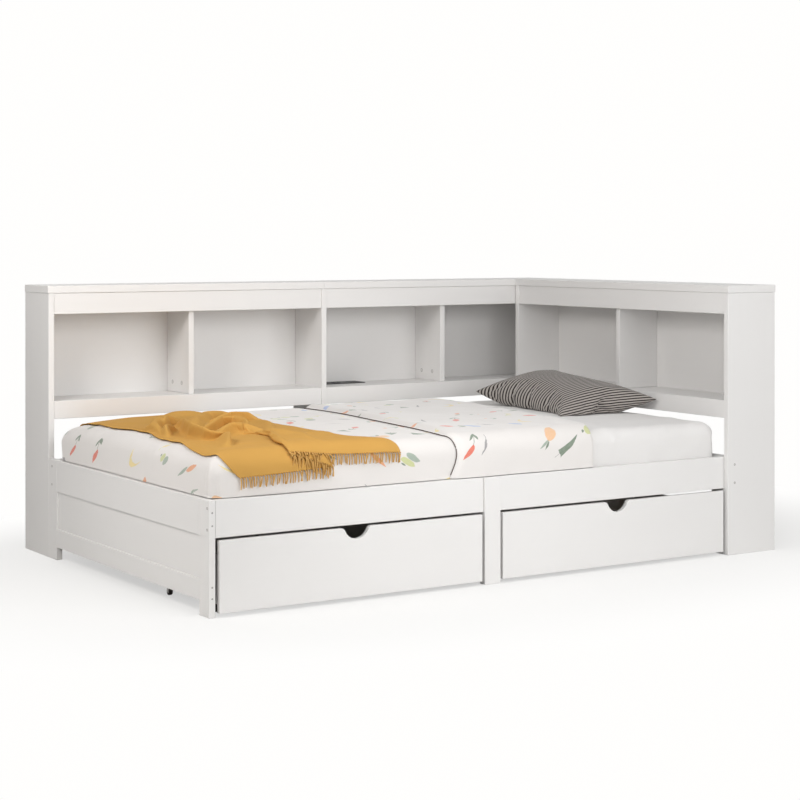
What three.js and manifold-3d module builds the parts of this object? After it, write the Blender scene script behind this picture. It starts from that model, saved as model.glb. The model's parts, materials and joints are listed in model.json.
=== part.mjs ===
// A storage bed for a 120 cm mattress, with open bookcases along its wall side and its head.
// Units are millimetres. X runs along the bed from foot to head, Y from the front to the wall,
// and Z up from the floor. The boards are placed from the foot's front corner, and the finished
// group is then moved so that its origin is at the middle of its footprint on the floor.
import * as THREE from 'three';
import * as BufferGeometryUtils from 'three/addons/utils/BufferGeometryUtils.js';
import Module from 'manifold-3d';

const wasm = await Module();
wasm.setup();

// Clearances
const seat = 0.3; // between two pieces that rest on each other
const bearingPlay = 0.3; // between an axle and its wheel, all round

// Boards
const boardThickness = 21.5;
const trimThickness = 18; // fascias, aprons and shelves
const rearPanelThickness = 9;
const rearPanelInset = 9; // from the bookcase's rear edge
const edgeEase = 1.2; // small flat that breaks every sharp board edge

// Mattress and the space around it
const mattressLength = 2000;
const mattressWidth = 1190;
const mattressBottomZ = 296;
const mattressTopZ = 470;
const mattressCrown = 8;
const mattressEdgeRadius = 45;
const mattressCornerRadius = 50;
const mattressEndGap = 9.25;
const mattressSideGap = 8;

// Bed frame
const railTopZ = 350;
const railBottomZ = 237;
const footPostFrontWidth = 66;
const footPostBackWidth = 75;
const footTopRailHeight = 110;
const footBottomRailZ = 45;
const footBottomRailHeight = 64;
const insetPanelThickness = 8;
const grooveDepth = 6;
const grooveClearance = 0.4;
const headPostWidth = 66;
const centreLegX = 993.5;
const centreLegWidth = 62.5;
const frontProud = 8.4; // drawer fronts and centre leg stand this far out of the rails
const behindRailGap = 22.5; // from the back rail to the bookcase
const ledgerWidth = 20;
const ledgerHeight = 25;

// Slats and the beam under them
const slatCount = 13;
const slatWidth = 70;
const slatThickness = 14;
const slatEndGap = 2;
const slatRowInset = 22; // from the foot rail and from the head posts to the end slats
const tapeWidth = 25;
const tapeThickness = 2;
const tapeInset = 260; // from a slat's end to the tape
const beamWidth = 30;
const beamHeight = 60;
const beamLegWidth = 40;

// Bookcases
const bookcaseDepth = 227;
const bookcaseHeight = 962;
const topBoardThickness = 26.5;
const topBoardOverhang = 2;
const fasciaHeight = 75;
const trimSetback = 3; // fascias and aprons behind the panels' front edges
const shelfTopZ = 551.5;
const apronHeight = 63.5;
const centrePanelX = 1115;

// Power strip on the shelf
const stripStartX = 1160;
const stripLength = 228;
const stripDepth = 84;
const stripThickness = 3;

// Drawers
const drawerGap = 9.5; // beside a drawer front
const drawerFrontTopGap = 7;
const drawerFrontThickness = 18;
const drawerFloorGap = 12;
const drawerBoxDepth = 460;
const drawerBoxHeight = 150;
const drawerSideThickness = 12;
const drawerBottomThickness = 6;
const drawerSideInset = 14; // from the ends of the front to the box's sides
const notchDepth = 36;
const notchRadius = 46;
const notchFilletRadius = 14;
const notchSegments = 8; // on each arc

// Casters
const wheelRadius = 12.5;
const wheelWidth = 12;
const wheelEdgeRound = 2;
const axleRadius = 2;
const forkCheekThickness = 1.5;
const forkCheekGap = 0.5; // beside the wheel
const forkPlateThickness = 2;
const forkPlateLength = 36;
const forkHeadroom = 5; // above the wheel
const casterInsetX = 16;
const casterInsetY = 69;
const wheelSegments = 24;
const axleSegments = 12;

// Bedding
const duvetClearance = 0.6;
const duvetThickness = 11;
const duvetLayerGap = 1;
const duvetRailGap = 2; // above the rails
const duvetRipple = 3;
const rippleWaves = { across: 97, drift: 210, along: 83, skew: 160 };
const foldFrontX = 1455;
const foldBackX = 1585;
const hemFrontX = 880;
const hemBackX = 1000;
const throwClearance = 2.6;
const throwThickness = 5;
const throwFoldHeight = 30;
const throwStart = 70; // from the mattress's foot end to the throw
const throwWidth = 571;
const throwHemLeftZ = 405;
const throwHemRightZ = 452;
const pillowHalfThickness = 66;
const pillowClearance = 1;
const pillowLength = 650; // along the head, between two corners
const pillowWidth = 400; // from its low side to the head
const pillowFrontInset = 322; // from the mattress's front side to the pillow
const pillowSkew = 73; // its low side lies this much nearer to the wall
const pillowTurn = 72; // its low side's wall corner lies this much nearer to the head
const pillowHeadGap = 11; // from the corners at the head to the head end's plane
const pillowLowLift = 14; // the low side's front corner above the mattress
const pillowHighLift = 60; // the head side's front corner above the mattress
const pillowTilt = 57; // the wall side's corners above the front ones
const pillowPinch = 0.06; // how far each side is drawn in between its corners
const pillowUndersideShare = 0.85; // of the upper side's swell

// Rows of points on the bedding
const mattressSteps = { along: 8, across: 5 };
const duvetSteps = { under: 8, over: 5, across: 6 };
const throwSteps = { along: 22, across: 16 };
const pillowSteps = { up: 14, along: 16 };
const lipSteps = 3;

// Derived frame planes
const railInnerFrontY = boardThickness;
const railInnerBackY = railInnerFrontY + mattressWidth + 2 * mattressSideGap;
const backRailRearY = railInnerBackY + boardThickness;
const bookcaseFrontY = backRailRearY + behindRailGap;
const bookcaseRearY = bookcaseFrontY + bookcaseDepth;
const headPlaneX = boardThickness + mattressLength + 2 * mattressEndGap;
const headRearX = headPlaneX + bookcaseDepth;
const headFrontY = -boardThickness;
const panelTopZ = bookcaseHeight - topBoardThickness;
const fasciaBottomZ = panelTopZ - fasciaHeight;
const apronBottomZ = shelfTopZ - apronHeight;
const trimRear = trimSetback + trimThickness;
const slatTopZ = mattressBottomZ - seat;
const ledgerTopZ = slatTopZ - slatThickness - seat;
const footPostBackY = bookcaseFrontY - seat - footPostBackWidth;
const headRailX = headPlaneX + boardThickness;
const headRearPanelY = bookcaseFrontY - boardThickness;
const beamY = (railInnerFrontY + railInnerBackY) / 2;

const paint = { roughness: 0.45, metalness: 0 };
const materials = {
  whitePaint: new THREE.MeshStandardMaterial({ color: 0xe6e4e1, ...paint }),
  rearBoard: new THREE.MeshStandardMaterial({ color: 0xdedbd8, ...paint }),
  slatWood: new THREE.MeshStandardMaterial({ color: 0xd9c19a, roughness: 0.7, metalness: 0 }),
  rubber: new THREE.MeshStandardMaterial({ color: 0x4a413c, roughness: 0.6, metalness: 0 }),
  sheet: new THREE.MeshStandardMaterial({ color: 0xe8e6e4, roughness: 0.9, metalness: 0 }),
  duvet: new THREE.MeshStandardMaterial({ color: 0xe6e1dc, roughness: 0.9, metalness: 0 }),
  mustard: new THREE.MeshStandardMaterial({ color: 0xd6a44c, roughness: 0.95, metalness: 0 }),
  ticking: new THREE.MeshStandardMaterial({ color: 0x6f6763, roughness: 0.9, metalness: 0 }),
  blackPlastic: new THREE.MeshStandardMaterial({ color: 0x161412, roughness: 0.4, metalness: 0 }),
};

const bed = new THREE.Group();

function addMesh(name, geometry, material, x = 0, y = 0, z = 0) {
  const mesh = new THREE.Mesh(geometry, material);
  mesh.name = name;
  mesh.position.set(x, y, z);
  bed.add(mesh);
  return mesh;
}

// A board between two corners, with every edge eased.
function addBoard(name, xs, ys, zs, material = materials.whitePaint) {
  const [width, depth, height] = [xs, ys, zs].map(([low, high]) => high - low);
  const ease = Math.min(edgeEase, width / 4, depth / 4, height / 4);
  const outline = easedRectangle(width, depth, ease);
  const geometry = new THREE.ExtrudeGeometry(outline, {
    depth: height - 2 * ease,
    bevelSize: ease,
    bevelThickness: ease,
    bevelOffset: -ease,
    bevelSegments: 1,
  });
  return addMesh(name, geometry, material, (xs[0] + xs[1]) / 2, (ys[0] + ys[1]) / 2, zs[0] + ease);
}

// A rectangle about the origin with its four corners cut off by the ease.
function easedRectangle(width, depth, ease) {
  const [x, y] = [width / 2, depth / 2];
  const outline = new THREE.Shape();
  outline.moveTo(-x + ease, -y);
  outline.lineTo(x - ease, -y);
  outline.lineTo(x, -y + ease);
  outline.lineTo(x, y - ease);
  outline.lineTo(x - ease, y);
  outline.lineTo(-x + ease, y);
  outline.lineTo(-x, y - ease);
  outline.lineTo(-x, -y + ease);
  outline.closePath();
  return outline;
}

// A bar along X whose section is a list of (y, z) points, counter-clockwise.
function addBarAlongX(name, section, x0, x1, material = materials.whitePaint) {
  const shape = new THREE.Shape(section.map(([y, z]) => new THREE.Vector2(y, z)));
  const geometry = new THREE.ExtrudeGeometry(shape, { depth: x1 - x0, bevelEnabled: false });
  const mesh = addMesh(name, geometry, material, x0, 0, 0);
  mesh.rotation.set(Math.PI / 2, Math.PI / 2, 0);
  return mesh;
}

// A bar along Y whose section is a list of (x, z) points, counter-clockwise.
function addBarAlongY(name, section, y0, y1, material = materials.whitePaint) {
  const shape = new THREE.Shape(section.map(([x, z]) => new THREE.Vector2(x, z)));
  const geometry = new THREE.ExtrudeGeometry(shape, { depth: y1 - y0, bevelEnabled: false });
  const mesh = addMesh(name, geometry, material, 0, y1, 0);
  mesh.rotation.set(Math.PI / 2, 0, 0);
  return mesh;
}

// Turns a closed geometry into a solid that can be joined or cut.
function solidOf(geometry) {
  const plain = geometry.clone();
  plain.deleteAttribute('normal');
  plain.deleteAttribute('uv');
  const merged = BufferGeometryUtils.mergeVertices(plain);
  return new wasm.Manifold(new wasm.Mesh({
    numProp: 3,
    vertProperties: new Float32Array(merged.attributes.position.array),
    triVerts: new Uint32Array(merged.index.array),
  }));
}

// The geometry of a solid.
function geometryOf(solid) {
  const mesh = solid.getMesh();
  const geometry = new THREE.BufferGeometry();
  geometry.setAttribute('position', new THREE.BufferAttribute(new Float32Array(mesh.vertProperties), 3));
  geometry.setIndex(new THREE.BufferAttribute(new Uint32Array(mesh.triVerts), 1));
  geometry.computeVertexNormals();
  return geometry;
}

// A plain box between two corners, for joining.
function boxBetween(xs, ys, zs) {
  const geometry = new THREE.BoxGeometry(xs[1] - xs[0], ys[1] - ys[0], zs[1] - zs[0]);
  geometry.translate((xs[0] + xs[1]) / 2, (ys[0] + ys[1]) / 2, (zs[0] + zs[1]) / 2);
  return geometry;
}

function joined(geometries) {
  return geometryOf(geometries.map(solidOf).reduce((whole, piece) => whole.add(piece)));
}

// Foot end: two posts, a top rail and a bottom rail with grooves, and a thin inset panel.
function addFootEnd() {
  const xs = [0, boardThickness];
  const backPostEnd = footPostBackY + footPostBackWidth;
  addBoard('foot_post_front', xs, [0, footPostFrontWidth], [0, railTopZ]);
  addBoard('foot_post_back', xs, [footPostBackY, backPostEnd], [0, railTopZ]);
  const ys = [footPostFrontWidth + seat, footPostBackY - seat];
  const topRailZ = railTopZ - footTopRailHeight;
  const bottomRailTopZ = footBottomRailZ + footBottomRailHeight;
  const grooveStart = (boardThickness - insetPanelThickness) / 2 - grooveClearance;
  const grooveEnd = grooveStart + insetPanelThickness + 2 * grooveClearance;
  addBarAlongY('foot_top_rail', [
    [0, topRailZ],
    [grooveStart, topRailZ],
    [grooveStart, topRailZ + grooveDepth],
    [grooveEnd, topRailZ + grooveDepth],
    [grooveEnd, topRailZ],
    [boardThickness, topRailZ],
    [boardThickness, railTopZ],
    [0, railTopZ],
  ], ...ys);
  addBarAlongY('foot_bottom_rail', [
    [0, footBottomRailZ],
    [boardThickness, footBottomRailZ],
    [boardThickness, bottomRailTopZ],
    [grooveEnd, bottomRailTopZ],
    [grooveEnd, bottomRailTopZ - grooveDepth],
    [grooveStart, bottomRailTopZ - grooveDepth],
    [grooveStart, bottomRailTopZ],
    [0, bottomRailTopZ],
  ], ...ys);
  const panelXs = [grooveStart + grooveClearance, grooveEnd - grooveClearance];
  const panelZs = [bottomRailTopZ - grooveDepth + seat, topRailZ + grooveDepth - seat];
  addBoard('foot_inset_panel', panelXs, ys, panelZs);
}

// Side rails, each one length of board with the ledger for the slats glued to its inner face.
function addSideRails() {
  const ledgerBottomZ = ledgerTopZ - ledgerHeight;
  const inner = railInnerFrontY;
  const frontSection = [
    [0, railBottomZ],
    [inner, railBottomZ],
    [inner, ledgerBottomZ],
    [inner + ledgerWidth, ledgerBottomZ],
    [inner + ledgerWidth, ledgerTopZ],
    [inner, ledgerTopZ],
    [inner, railTopZ],
    [0, railTopZ],
  ];
  const backSection = frontSection.map(([y, z]) => [backRailRearY - y, z]).reverse();
  const legEndX = centreLegX + centreLegWidth;
  addBarAlongX('front_rail_left', frontSection, boardThickness + seat, centreLegX - seat);
  addBarAlongX('front_rail_right', frontSection, legEndX + seat, headPlaneX - seat);
  addBarAlongX('back_rail', backSection, boardThickness + seat, headPlaneX - seat);
  addBoard('centre_leg', [centreLegX, legEndX], [-frontProud, boardThickness], [0, railTopZ]);
}

// Head end of the bed frame: two posts and the rail that joins them under the bookcase.
function addHeadEnd() {
  const xs = [headPlaneX, headPlaneX + boardThickness - seat];
  addBoard('head_post_front', xs, [seat, headPostWidth], [0, railTopZ]);
  addBoard('head_post_back', xs, [backRailRearY - headPostWidth, backRailRearY], [0, railTopZ]);
  const railXs = [headRailX, headRailX + boardThickness];
  addBoard('head_rail', railXs, [seat, headRearPanelY - seat], [railBottomZ, railTopZ]);
}

// Slats joined by two tapes, and the beam with its leg under their middle.
function addSlats() {
  const ys = [railInnerFrontY + slatEndGap, railInnerBackY - slatEndGap];
  const firstX = boardThickness + slatRowInset;
  const lastX = headPlaneX - slatRowInset - slatWidth;
  const pitch = (lastX - firstX) / (slatCount - 1);
  const slatZs = [slatTopZ - slatThickness, slatTopZ];
  const pieces = [];
  for (let i = 0; i < slatCount; i += 1) {
    const x = firstX + i * pitch;
    pieces.push(boxBetween([x, x + slatWidth], ys, slatZs));
  }
  const tapeZs = [slatTopZ - slatThickness - tapeThickness, slatTopZ - slatThickness + seat];
  for (const tapeStart of [ys[0] + tapeInset, ys[1] - tapeInset - tapeWidth]) {
    const tapeXs = [firstX + slatWidth / 2, lastX + slatWidth / 2];
    pieces.push(boxBetween(tapeXs, [tapeStart, tapeStart + tapeWidth], tapeZs));
  }
  addMesh('slat_roll', joined(pieces), materials.slatWood);

  const beamEndX = headRailX - seat;
  const legX = centreLegX + (centreLegWidth - beamLegWidth) / 2;
  const beamBottomZ = ledgerTopZ - beamHeight;
  addBarAlongY('centre_beam', [
    [boardThickness + seat, beamBottomZ],
    [legX, beamBottomZ],
    [legX, 0],
    [legX + beamLegWidth, 0],
    [legX + beamLegWidth, beamBottomZ],
    [beamEndX, beamBottomZ],
    [beamEndX, ledgerTopZ],
    [boardThickness + seat, ledgerTopZ],
  ], beamY - beamWidth / 2, beamY + beamWidth / 2);
}

// Bookcase along the wall: three full-height panels and, between them, two bays with a fascia,
// a shelf with its apron, a divider and a rear panel each.
function addBackBookcase() {
  const panelYs = [bookcaseFrontY, bookcaseRearY];
  const panelZs = [0, panelTopZ - seat];
  const centreEndX = centrePanelX + boardThickness;
  const rightPanelX = headRearX - boardThickness;
  addBoard('left_end_panel', [0, boardThickness], panelYs, panelZs);
  addBoard('centre_panel', [centrePanelX, centreEndX], panelYs, panelZs);
  addBoard('right_end_panel', [rightPanelX, headRearX], panelYs, panelZs);
  const seamX = centrePanelX + boardThickness / 2;
  const topZs = [panelTopZ, bookcaseHeight];
  addBoard('back_top_board_left', [-topBoardOverhang, seamX - seat / 2], panelYs, topZs);
  addBoard('back_top_board_right', [seamX + seat / 2, headRearX + topBoardOverhang], panelYs, topZs);
  const bays = [
    ['left', boardThickness, centrePanelX],
    ['right', centreEndX, rightPanelX],
  ];
  for (const [side, bayStart, bayEnd] of bays) {
    addBackBay(side, bayStart + seat, bayEnd - seat);
  }
}

function addBackBay(side, x0, x1) {
  const xs = [x0, x1];
  const trimYs = [bookcaseFrontY + trimSetback, bookcaseFrontY + trimRear];
  const rearPanelY = bookcaseRearY - rearPanelInset - rearPanelThickness;
  const shelfYs = [trimYs[1] + seat, rearPanelY - seat];
  const dividerX = (x0 + x1 - boardThickness) / 2;
  const dividerXs = [dividerX, dividerX + boardThickness];
  addBoard(`back_fascia_${side}`, xs, trimYs, [fasciaBottomZ, panelTopZ - seat]);
  addBoard(`back_apron_${side}`, xs, trimYs, [apronBottomZ, shelfTopZ]);
  addBoard(`back_shelf_${side}`, xs, shelfYs, [shelfTopZ - trimThickness, shelfTopZ]);
  addBoard(`back_divider_${side}`, dividerXs, shelfYs, [shelfTopZ + seat, panelTopZ - seat]);
  const rearYs = [rearPanelY, rearPanelY + rearPanelThickness];
  addBoard(`back_rear_panel_${side}`, xs, rearYs, [apronBottomZ, panelTopZ - seat], materials.rearBoard);
}

// Bookcase at the head: two end panels down to the floor and one bay between them.
function addHeadBookcase() {
  const xs = [headPlaneX, headRearX];
  addBoard('head_front_end_panel', xs, [headFrontY, 0], [0, panelTopZ - seat]);
  const rearPanelYs = [headRearPanelY, bookcaseFrontY - seat];
  addBoard('head_rear_end_panel', xs, rearPanelYs, [0, panelTopZ - seat]);
  const topXs = [headPlaneX, headRearX + topBoardOverhang];
  const topYs = [headFrontY - topBoardOverhang, bookcaseFrontY - seat];
  addBoard('head_top_board', topXs, topYs, [panelTopZ, bookcaseHeight]);

  const ys = [seat, headRearPanelY - seat];
  const trimXs = [headPlaneX + trimSetback, headPlaneX + trimRear];
  const rearX = headRearX - rearPanelInset - rearPanelThickness;
  const shelfXs = [trimXs[1] + seat, rearX - seat];
  const dividerY = (ys[0] + ys[1] - boardThickness) / 2;
  const dividerYs = [dividerY, dividerY + boardThickness];
  addBoard('head_fascia', trimXs, ys, [fasciaBottomZ, panelTopZ - seat]);
  addBoard('head_apron', trimXs, ys, [apronBottomZ, shelfTopZ]);
  addBoard('head_shelf', shelfXs, ys, [shelfTopZ - trimThickness, shelfTopZ]);
  addBoard('head_divider', shelfXs, dividerYs, [shelfTopZ + seat, panelTopZ - seat]);
  const rearXs = [rearX, rearX + rearPanelThickness];
  addBoard('head_rear_panel', rearXs, ys, [apronBottomZ, panelTopZ - seat], materials.rearBoard);
}

// Power strip lying on the wall bookcase's shelf, against its rear panel.
function addPowerStrip() {
  const rearY = bookcaseRearY - rearPanelInset - rearPanelThickness - seat;
  const zs = [shelfTopZ + seat, shelfTopZ + seat + stripThickness];
  const xs = [stripStartX, stripStartX + stripLength];
  addBoard('power_strip', xs, [rearY - stripDepth, rearY], zs, materials.blackPlastic);
}

// A drawer front's outline about its middle at the lower edge, with a finger notch in the top:
// a round bite whose centre is above the edge, with a fillet on each shoulder.
function drawerFrontOutline(width, height) {
  const biteCentreZ = height - notchDepth + notchRadius;
  const filletCentreZ = height - notchFilletRadius;
  const reach = notchRadius + notchFilletRadius;
  const filletCentreX = Math.sqrt(reach ** 2 - (biteCentreZ - filletCentreZ) ** 2);
  const shoulder = Math.atan2(biteCentreZ - filletCentreZ, filletCentreX);
  const outline = new THREE.Shape();
  outline.moveTo(-width / 2, 0);
  outline.lineTo(width / 2, 0);
  outline.lineTo(width / 2, height);
  outline.lineTo(filletCentreX, height);
  outline.absarc(filletCentreX, filletCentreZ, notchFilletRadius, Math.PI / 2, Math.PI - shoulder, false);
  outline.absarc(0, biteCentreZ, notchRadius, -shoulder, Math.PI + shoulder, true);
  outline.absarc(-filletCentreX, filletCentreZ, notchFilletRadius, shoulder, Math.PI / 2, false);
  outline.lineTo(-width / 2, height);
  outline.closePath();
  return outline;
}

// A rolling drawer: front, two sides, back, and a bottom with four caster forks.
function addDrawer(name, bayStart, bayEnd) {
  const frontXs = [bayStart + drawerGap, bayEnd - drawerGap];
  const frontYs = [-frontProud, drawerFrontThickness - frontProud];
  const frontHeight = railBottomZ - drawerFrontTopGap - drawerFloorGap;
  const outline = drawerFrontOutline(frontXs[1] - frontXs[0], frontHeight);
  const geometry = new THREE.ExtrudeGeometry(outline, {
    depth: drawerFrontThickness,
    bevelEnabled: false,
    curveSegments: notchSegments,
  });
  const front = addMesh(`${name}_front`, geometry, materials.whitePaint);
  front.position.set((frontXs[0] + frontXs[1]) / 2, frontYs[1], drawerFloorGap);
  front.rotation.set(Math.PI / 2, 0, 0);

  const bottomZ = 2 * wheelRadius + forkHeadroom + forkPlateThickness;
  const boxXs = [frontXs[0] + drawerSideInset, frontXs[1] - drawerSideInset];
  const boxYs = [frontYs[1] + seat, frontYs[1] + drawerBoxDepth];
  const sideZs = [bottomZ + drawerBottomThickness + seat, bottomZ + drawerBoxHeight];
  const leftXs = [boxXs[0], boxXs[0] + drawerSideThickness];
  const rightXs = [boxXs[1] - drawerSideThickness, boxXs[1]];
  const backYs = [boxYs[1] - drawerSideThickness, boxYs[1]];
  addBoard(`${name}_side_foot`, leftXs, boxYs, sideZs);
  addBoard(`${name}_side_head`, rightXs, boxYs, sideZs);
  addBoard(`${name}_back`, [leftXs[1] + seat, rightXs[0] - seat], backYs, sideZs);

  const pieces = [boxBetween(boxXs, boxYs, [bottomZ, bottomZ + drawerBottomThickness])];
  for (const [end, x] of [['foot', boxXs[0] + casterInsetX], ['head', boxXs[1] - casterInsetX]]) {
    for (const [row, y] of [['front', boxYs[0] + casterInsetY], ['rear', boxYs[1] - casterInsetY]]) {
      pieces.push(...casterFork(x, y, bottomZ));
      addWheel(`${name}_wheel_${row}_${end}`, x, y);
    }
  }
  addMesh(`${name}_bottom`, joined(pieces), materials.whitePaint);
}

// The pieces of a caster's fork: plate, two cheeks and the axle between them.
function casterFork(x, y, bottomZ) {
  const cheekInner = wheelWidth / 2 + forkCheekGap;
  const cheekOuter = cheekInner + forkCheekThickness;
  const plateZs = [bottomZ - forkPlateThickness, bottomZ + drawerBottomThickness / 2];
  const plateYs = [y - forkPlateLength / 2, y + forkPlateLength / 2];
  const cheekZs = [wheelRadius - 2 * axleRadius, bottomZ - forkPlateThickness / 2];
  const cheekYs = [y - wheelRadius / 2, y + wheelRadius / 2];
  const axle = new THREE.CylinderGeometry(axleRadius, axleRadius, 2 * cheekOuter, axleSegments);
  axle.rotateZ(Math.PI / 2);
  axle.translate(x, y, wheelRadius);
  return [
    boxBetween([x - cheekOuter, x + cheekOuter], plateYs, plateZs),
    boxBetween([x - cheekOuter, x - cheekInner], cheekYs, cheekZs),
    boxBetween([x + cheekInner, x + cheekOuter], cheekYs, cheekZs),
    axle,
  ];
}

// A wheel on an axle along X, bored for it.
function addWheel(name, x, y) {
  const half = wheelWidth / 2;
  const bore = axleRadius + bearingPlay;
  const profile = [
    [bore, -half],
    [wheelRadius - wheelEdgeRound, -half],
    [wheelRadius, -half + wheelEdgeRound],
    [wheelRadius, half - wheelEdgeRound],
    [wheelRadius - wheelEdgeRound, half],
    [bore, half],
    [bore, -half],
  ].map(([radius, along]) => new THREE.Vector2(radius, along));
  const wheel = addMesh(name, new THREE.LatheGeometry(profile, wheelSegments), materials.rubber);
  wheel.position.set(x, y, wheelRadius);
  wheel.rotation.set(0, 0, Math.PI / 2);
}

// A closed body between an upper and a lower grid of points. Where the rims are shared, the
// lower grid's rim is left out and the two surfaces meet; elsewhere a wall joins them.
function gridBody(rows, columns, upper, lower, sharedRim) {
  const positions = [];
  const index = [];
  const place = (surface) => {
    const first = positions.length / 3;
    for (let i = 0; i <= rows; i += 1) {
      for (let j = 0; j <= columns; j += 1) {
        positions.push(...surface(i, j));
      }
    }
    return (i, j) => first + i * (columns + 1) + j;
  };
  const isRim = (i, j) => i === 0 || j === 0 || i === rows || j === columns;
  const top = place(upper);
  const under = place(lower);
  const bottom = (i, j) => (sharedRim && isRim(i, j) ? top(i, j) : under(i, j));
  for (let i = 0; i < rows; i += 1) {
    for (let j = 0; j < columns; j += 1) {
      index.push(top(i, j), top(i + 1, j), top(i + 1, j + 1));
      index.push(top(i, j), top(i + 1, j + 1), top(i, j + 1));
      index.push(bottom(i, j), bottom(i + 1, j + 1), bottom(i + 1, j));
      index.push(bottom(i, j), bottom(i, j + 1), bottom(i + 1, j + 1));
    }
  }
  if (!sharedRim) {
    const rim = [];
    for (let i = 0; i < rows; i += 1) rim.push([i, 0]);
    for (let j = 0; j < columns; j += 1) rim.push([rows, j]);
    for (let i = rows; i > 0; i -= 1) rim.push([i, columns]);
    for (let j = columns; j > 0; j -= 1) rim.push([0, j]);
    rim.forEach((here, k) => {
      const next = rim[(k + 1) % rim.length];
      index.push(top(...next), top(...here), bottom(...here));
      index.push(top(...next), bottom(...here), bottom(...next));
    });
  }
  const geometry = new THREE.BufferGeometry();
  geometry.setAttribute('position', new THREE.Float32BufferAttribute(positions, 3));
  geometry.setIndex(index);
  const used = geometry.toNonIndexed();
  const merged = BufferGeometryUtils.mergeVertices(used);
  merged.computeVertexNormals();
  return merged;
}

const mix = (a, b, share) => a + (b - a) * share;
const clamp = (value, low, high) => Math.min(Math.max(value, low), high);

// The mattress's plan: its faces, and the inner rectangle where its top is flat.
const mattressX0 = boardThickness + mattressEndGap;
const mattressX1 = mattressX0 + mattressLength;
const mattressY0 = railInnerFrontY + mattressSideGap;
const mattressY1 = mattressY0 + mattressWidth;
const flatX0 = mattressX0 + mattressCornerRadius;
const flatX1 = mattressX1 - mattressCornerRadius;
const flatY0 = mattressY0 + mattressCornerRadius;
const flatY1 = mattressY1 - mattressCornerRadius;
const lipStart = mattressCornerRadius - mattressEdgeRadius;
const lipEnd = lipStart + (mattressEdgeRadius * Math.PI) / 2;

// The way over the mattress's edge that ends at a height on its side.
function wayDownTo(z) {
  return lipEnd + (mattressTopZ - mattressEdgeRadius - z);
}

// A point of cloth laid over the mattress. Along and across are measured on the cloth, and past
// the flat rectangle they run over the rounded edge and down the side; at a corner the square of
// cloth turns into a quarter disc. Lift is the height above the mattress, square to its surface.
function drape(along, across, lift) {
  const pastX = Math.max(flatX0 - along, along - flatX1, 0);
  const pastY = Math.max(flatY0 - across, across - flatY1, 0);
  const way = Math.max(pastX, pastY);
  const lip = clamp((way - lipStart) / mattressEdgeRadius, 0, Math.PI / 2);
  const out = Math.min(way, lipStart) + (mattressEdgeRadius + lift) * Math.sin(lip);
  const drop = mattressEdgeRadius * (1 - Math.cos(lip)) + Math.max(way - lipEnd, 0);
  const turn = cornerTurn(pastX, pastY);
  const signX = along < flatX0 ? -1 : 1;
  const signY = across < flatY0 ? -1 : 1;
  const x = clamp(along, flatX0, flatX1) + signX * out * Math.cos(turn);
  const y = clamp(across, flatY0, flatY1) + signY * out * Math.sin(turn);
  const z = mattressTopZ + crownAt(along, across) - drop + lift * Math.cos(lip);
  return [x, y, z];
}

// The direction in plan of the way over the edge: 0 over an end, a right angle over a side.
function cornerTurn(pastX, pastY) {
  if (pastX === 0 && pastY === 0) return 0;
  if (pastX >= pastY) return (Math.PI / 4) * (pastY / pastX);
  return Math.PI / 2 - (Math.PI / 4) * (pastX / pastY);
}

function crownAt(along, across) {
  const u = clamp((2 * (along - mattressX0)) / mattressLength - 1, -1, 1);
  const v = clamp((2 * (across - mattressY0)) / mattressWidth - 1, -1, 1);
  return mattressCrown * (1 - u * u) * (1 - v * v);
}

// Ways past the flat rectangle at which cloth has a row of points, from the lowest inwards.
function edgeWays(lowest) {
  const ways = [lowest];
  for (let k = lipSteps; k >= 0; k -= 1) {
    ways.push(mix(lipStart, lipEnd, k / lipSteps));
  }
  return ways;
}

// Rows of points from one low edge over the top to the other, with even steps between.
function rowsOver(start, end, lowest, steps) {
  const ways = edgeWays(lowest);
  const inner = Array.from({ length: steps + 1 }, (_, k) => mix(start, end, k / steps));
  return [...ways.map((way) => start - way), ...inner, ...ways.map((way) => end + way).reverse()];
}

// Mattress: rounded top edges and a crown, on a flat underside.
function addMattress() {
  const lowest = wayDownTo(mattressBottomZ);
  const alongs = rowsOver(flatX0, flatX1, lowest, mattressSteps.along);
  const acrosses = rowsOver(flatY0, flatY1, lowest, mattressSteps.across);
  const middleX = (mattressX0 + mattressX1) / 2;
  const middleY = (mattressY0 + mattressY1) / 2;
  const rows = alongs.length - 1;
  const columns = acrosses.length - 1;
  const upper = (i, j) => drape(alongs[i], acrosses[j], 0);
  const lower = (i, j) => {
    const u = 2 * (i / rows) - 1;
    const v = 2 * (j / columns) - 1;
    const reach = Math.max(Math.abs(u), Math.abs(v));
    if (reach === 0) return [middleX, middleY, mattressBottomZ];
    const rim = (share) => [
      mix(alongs[0], alongs[rows], (share * u / reach + 1) / 2),
      mix(acrosses[0], acrosses[columns], (share * v / reach + 1) / 2),
    ];
    const [x, y] = drape(...rim(1), 0);
    return [mix(middleX, x, reach), mix(middleY, y, reach), mattressBottomZ];
  };
  addMesh('mattress', gridBody(rows, columns, upper, lower, true), materials.sheet);
}

// Soft unevenness of the duvet's top.
function rippleAt(along, across) {
  const { across: first, drift, along: second, skew } = rippleWaves;
  const wave = Math.sin(along / first + across / drift) + Math.sin(across / second - along / skew);
  return (duvetRipple * (2 + wave)) / 4;
}

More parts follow.
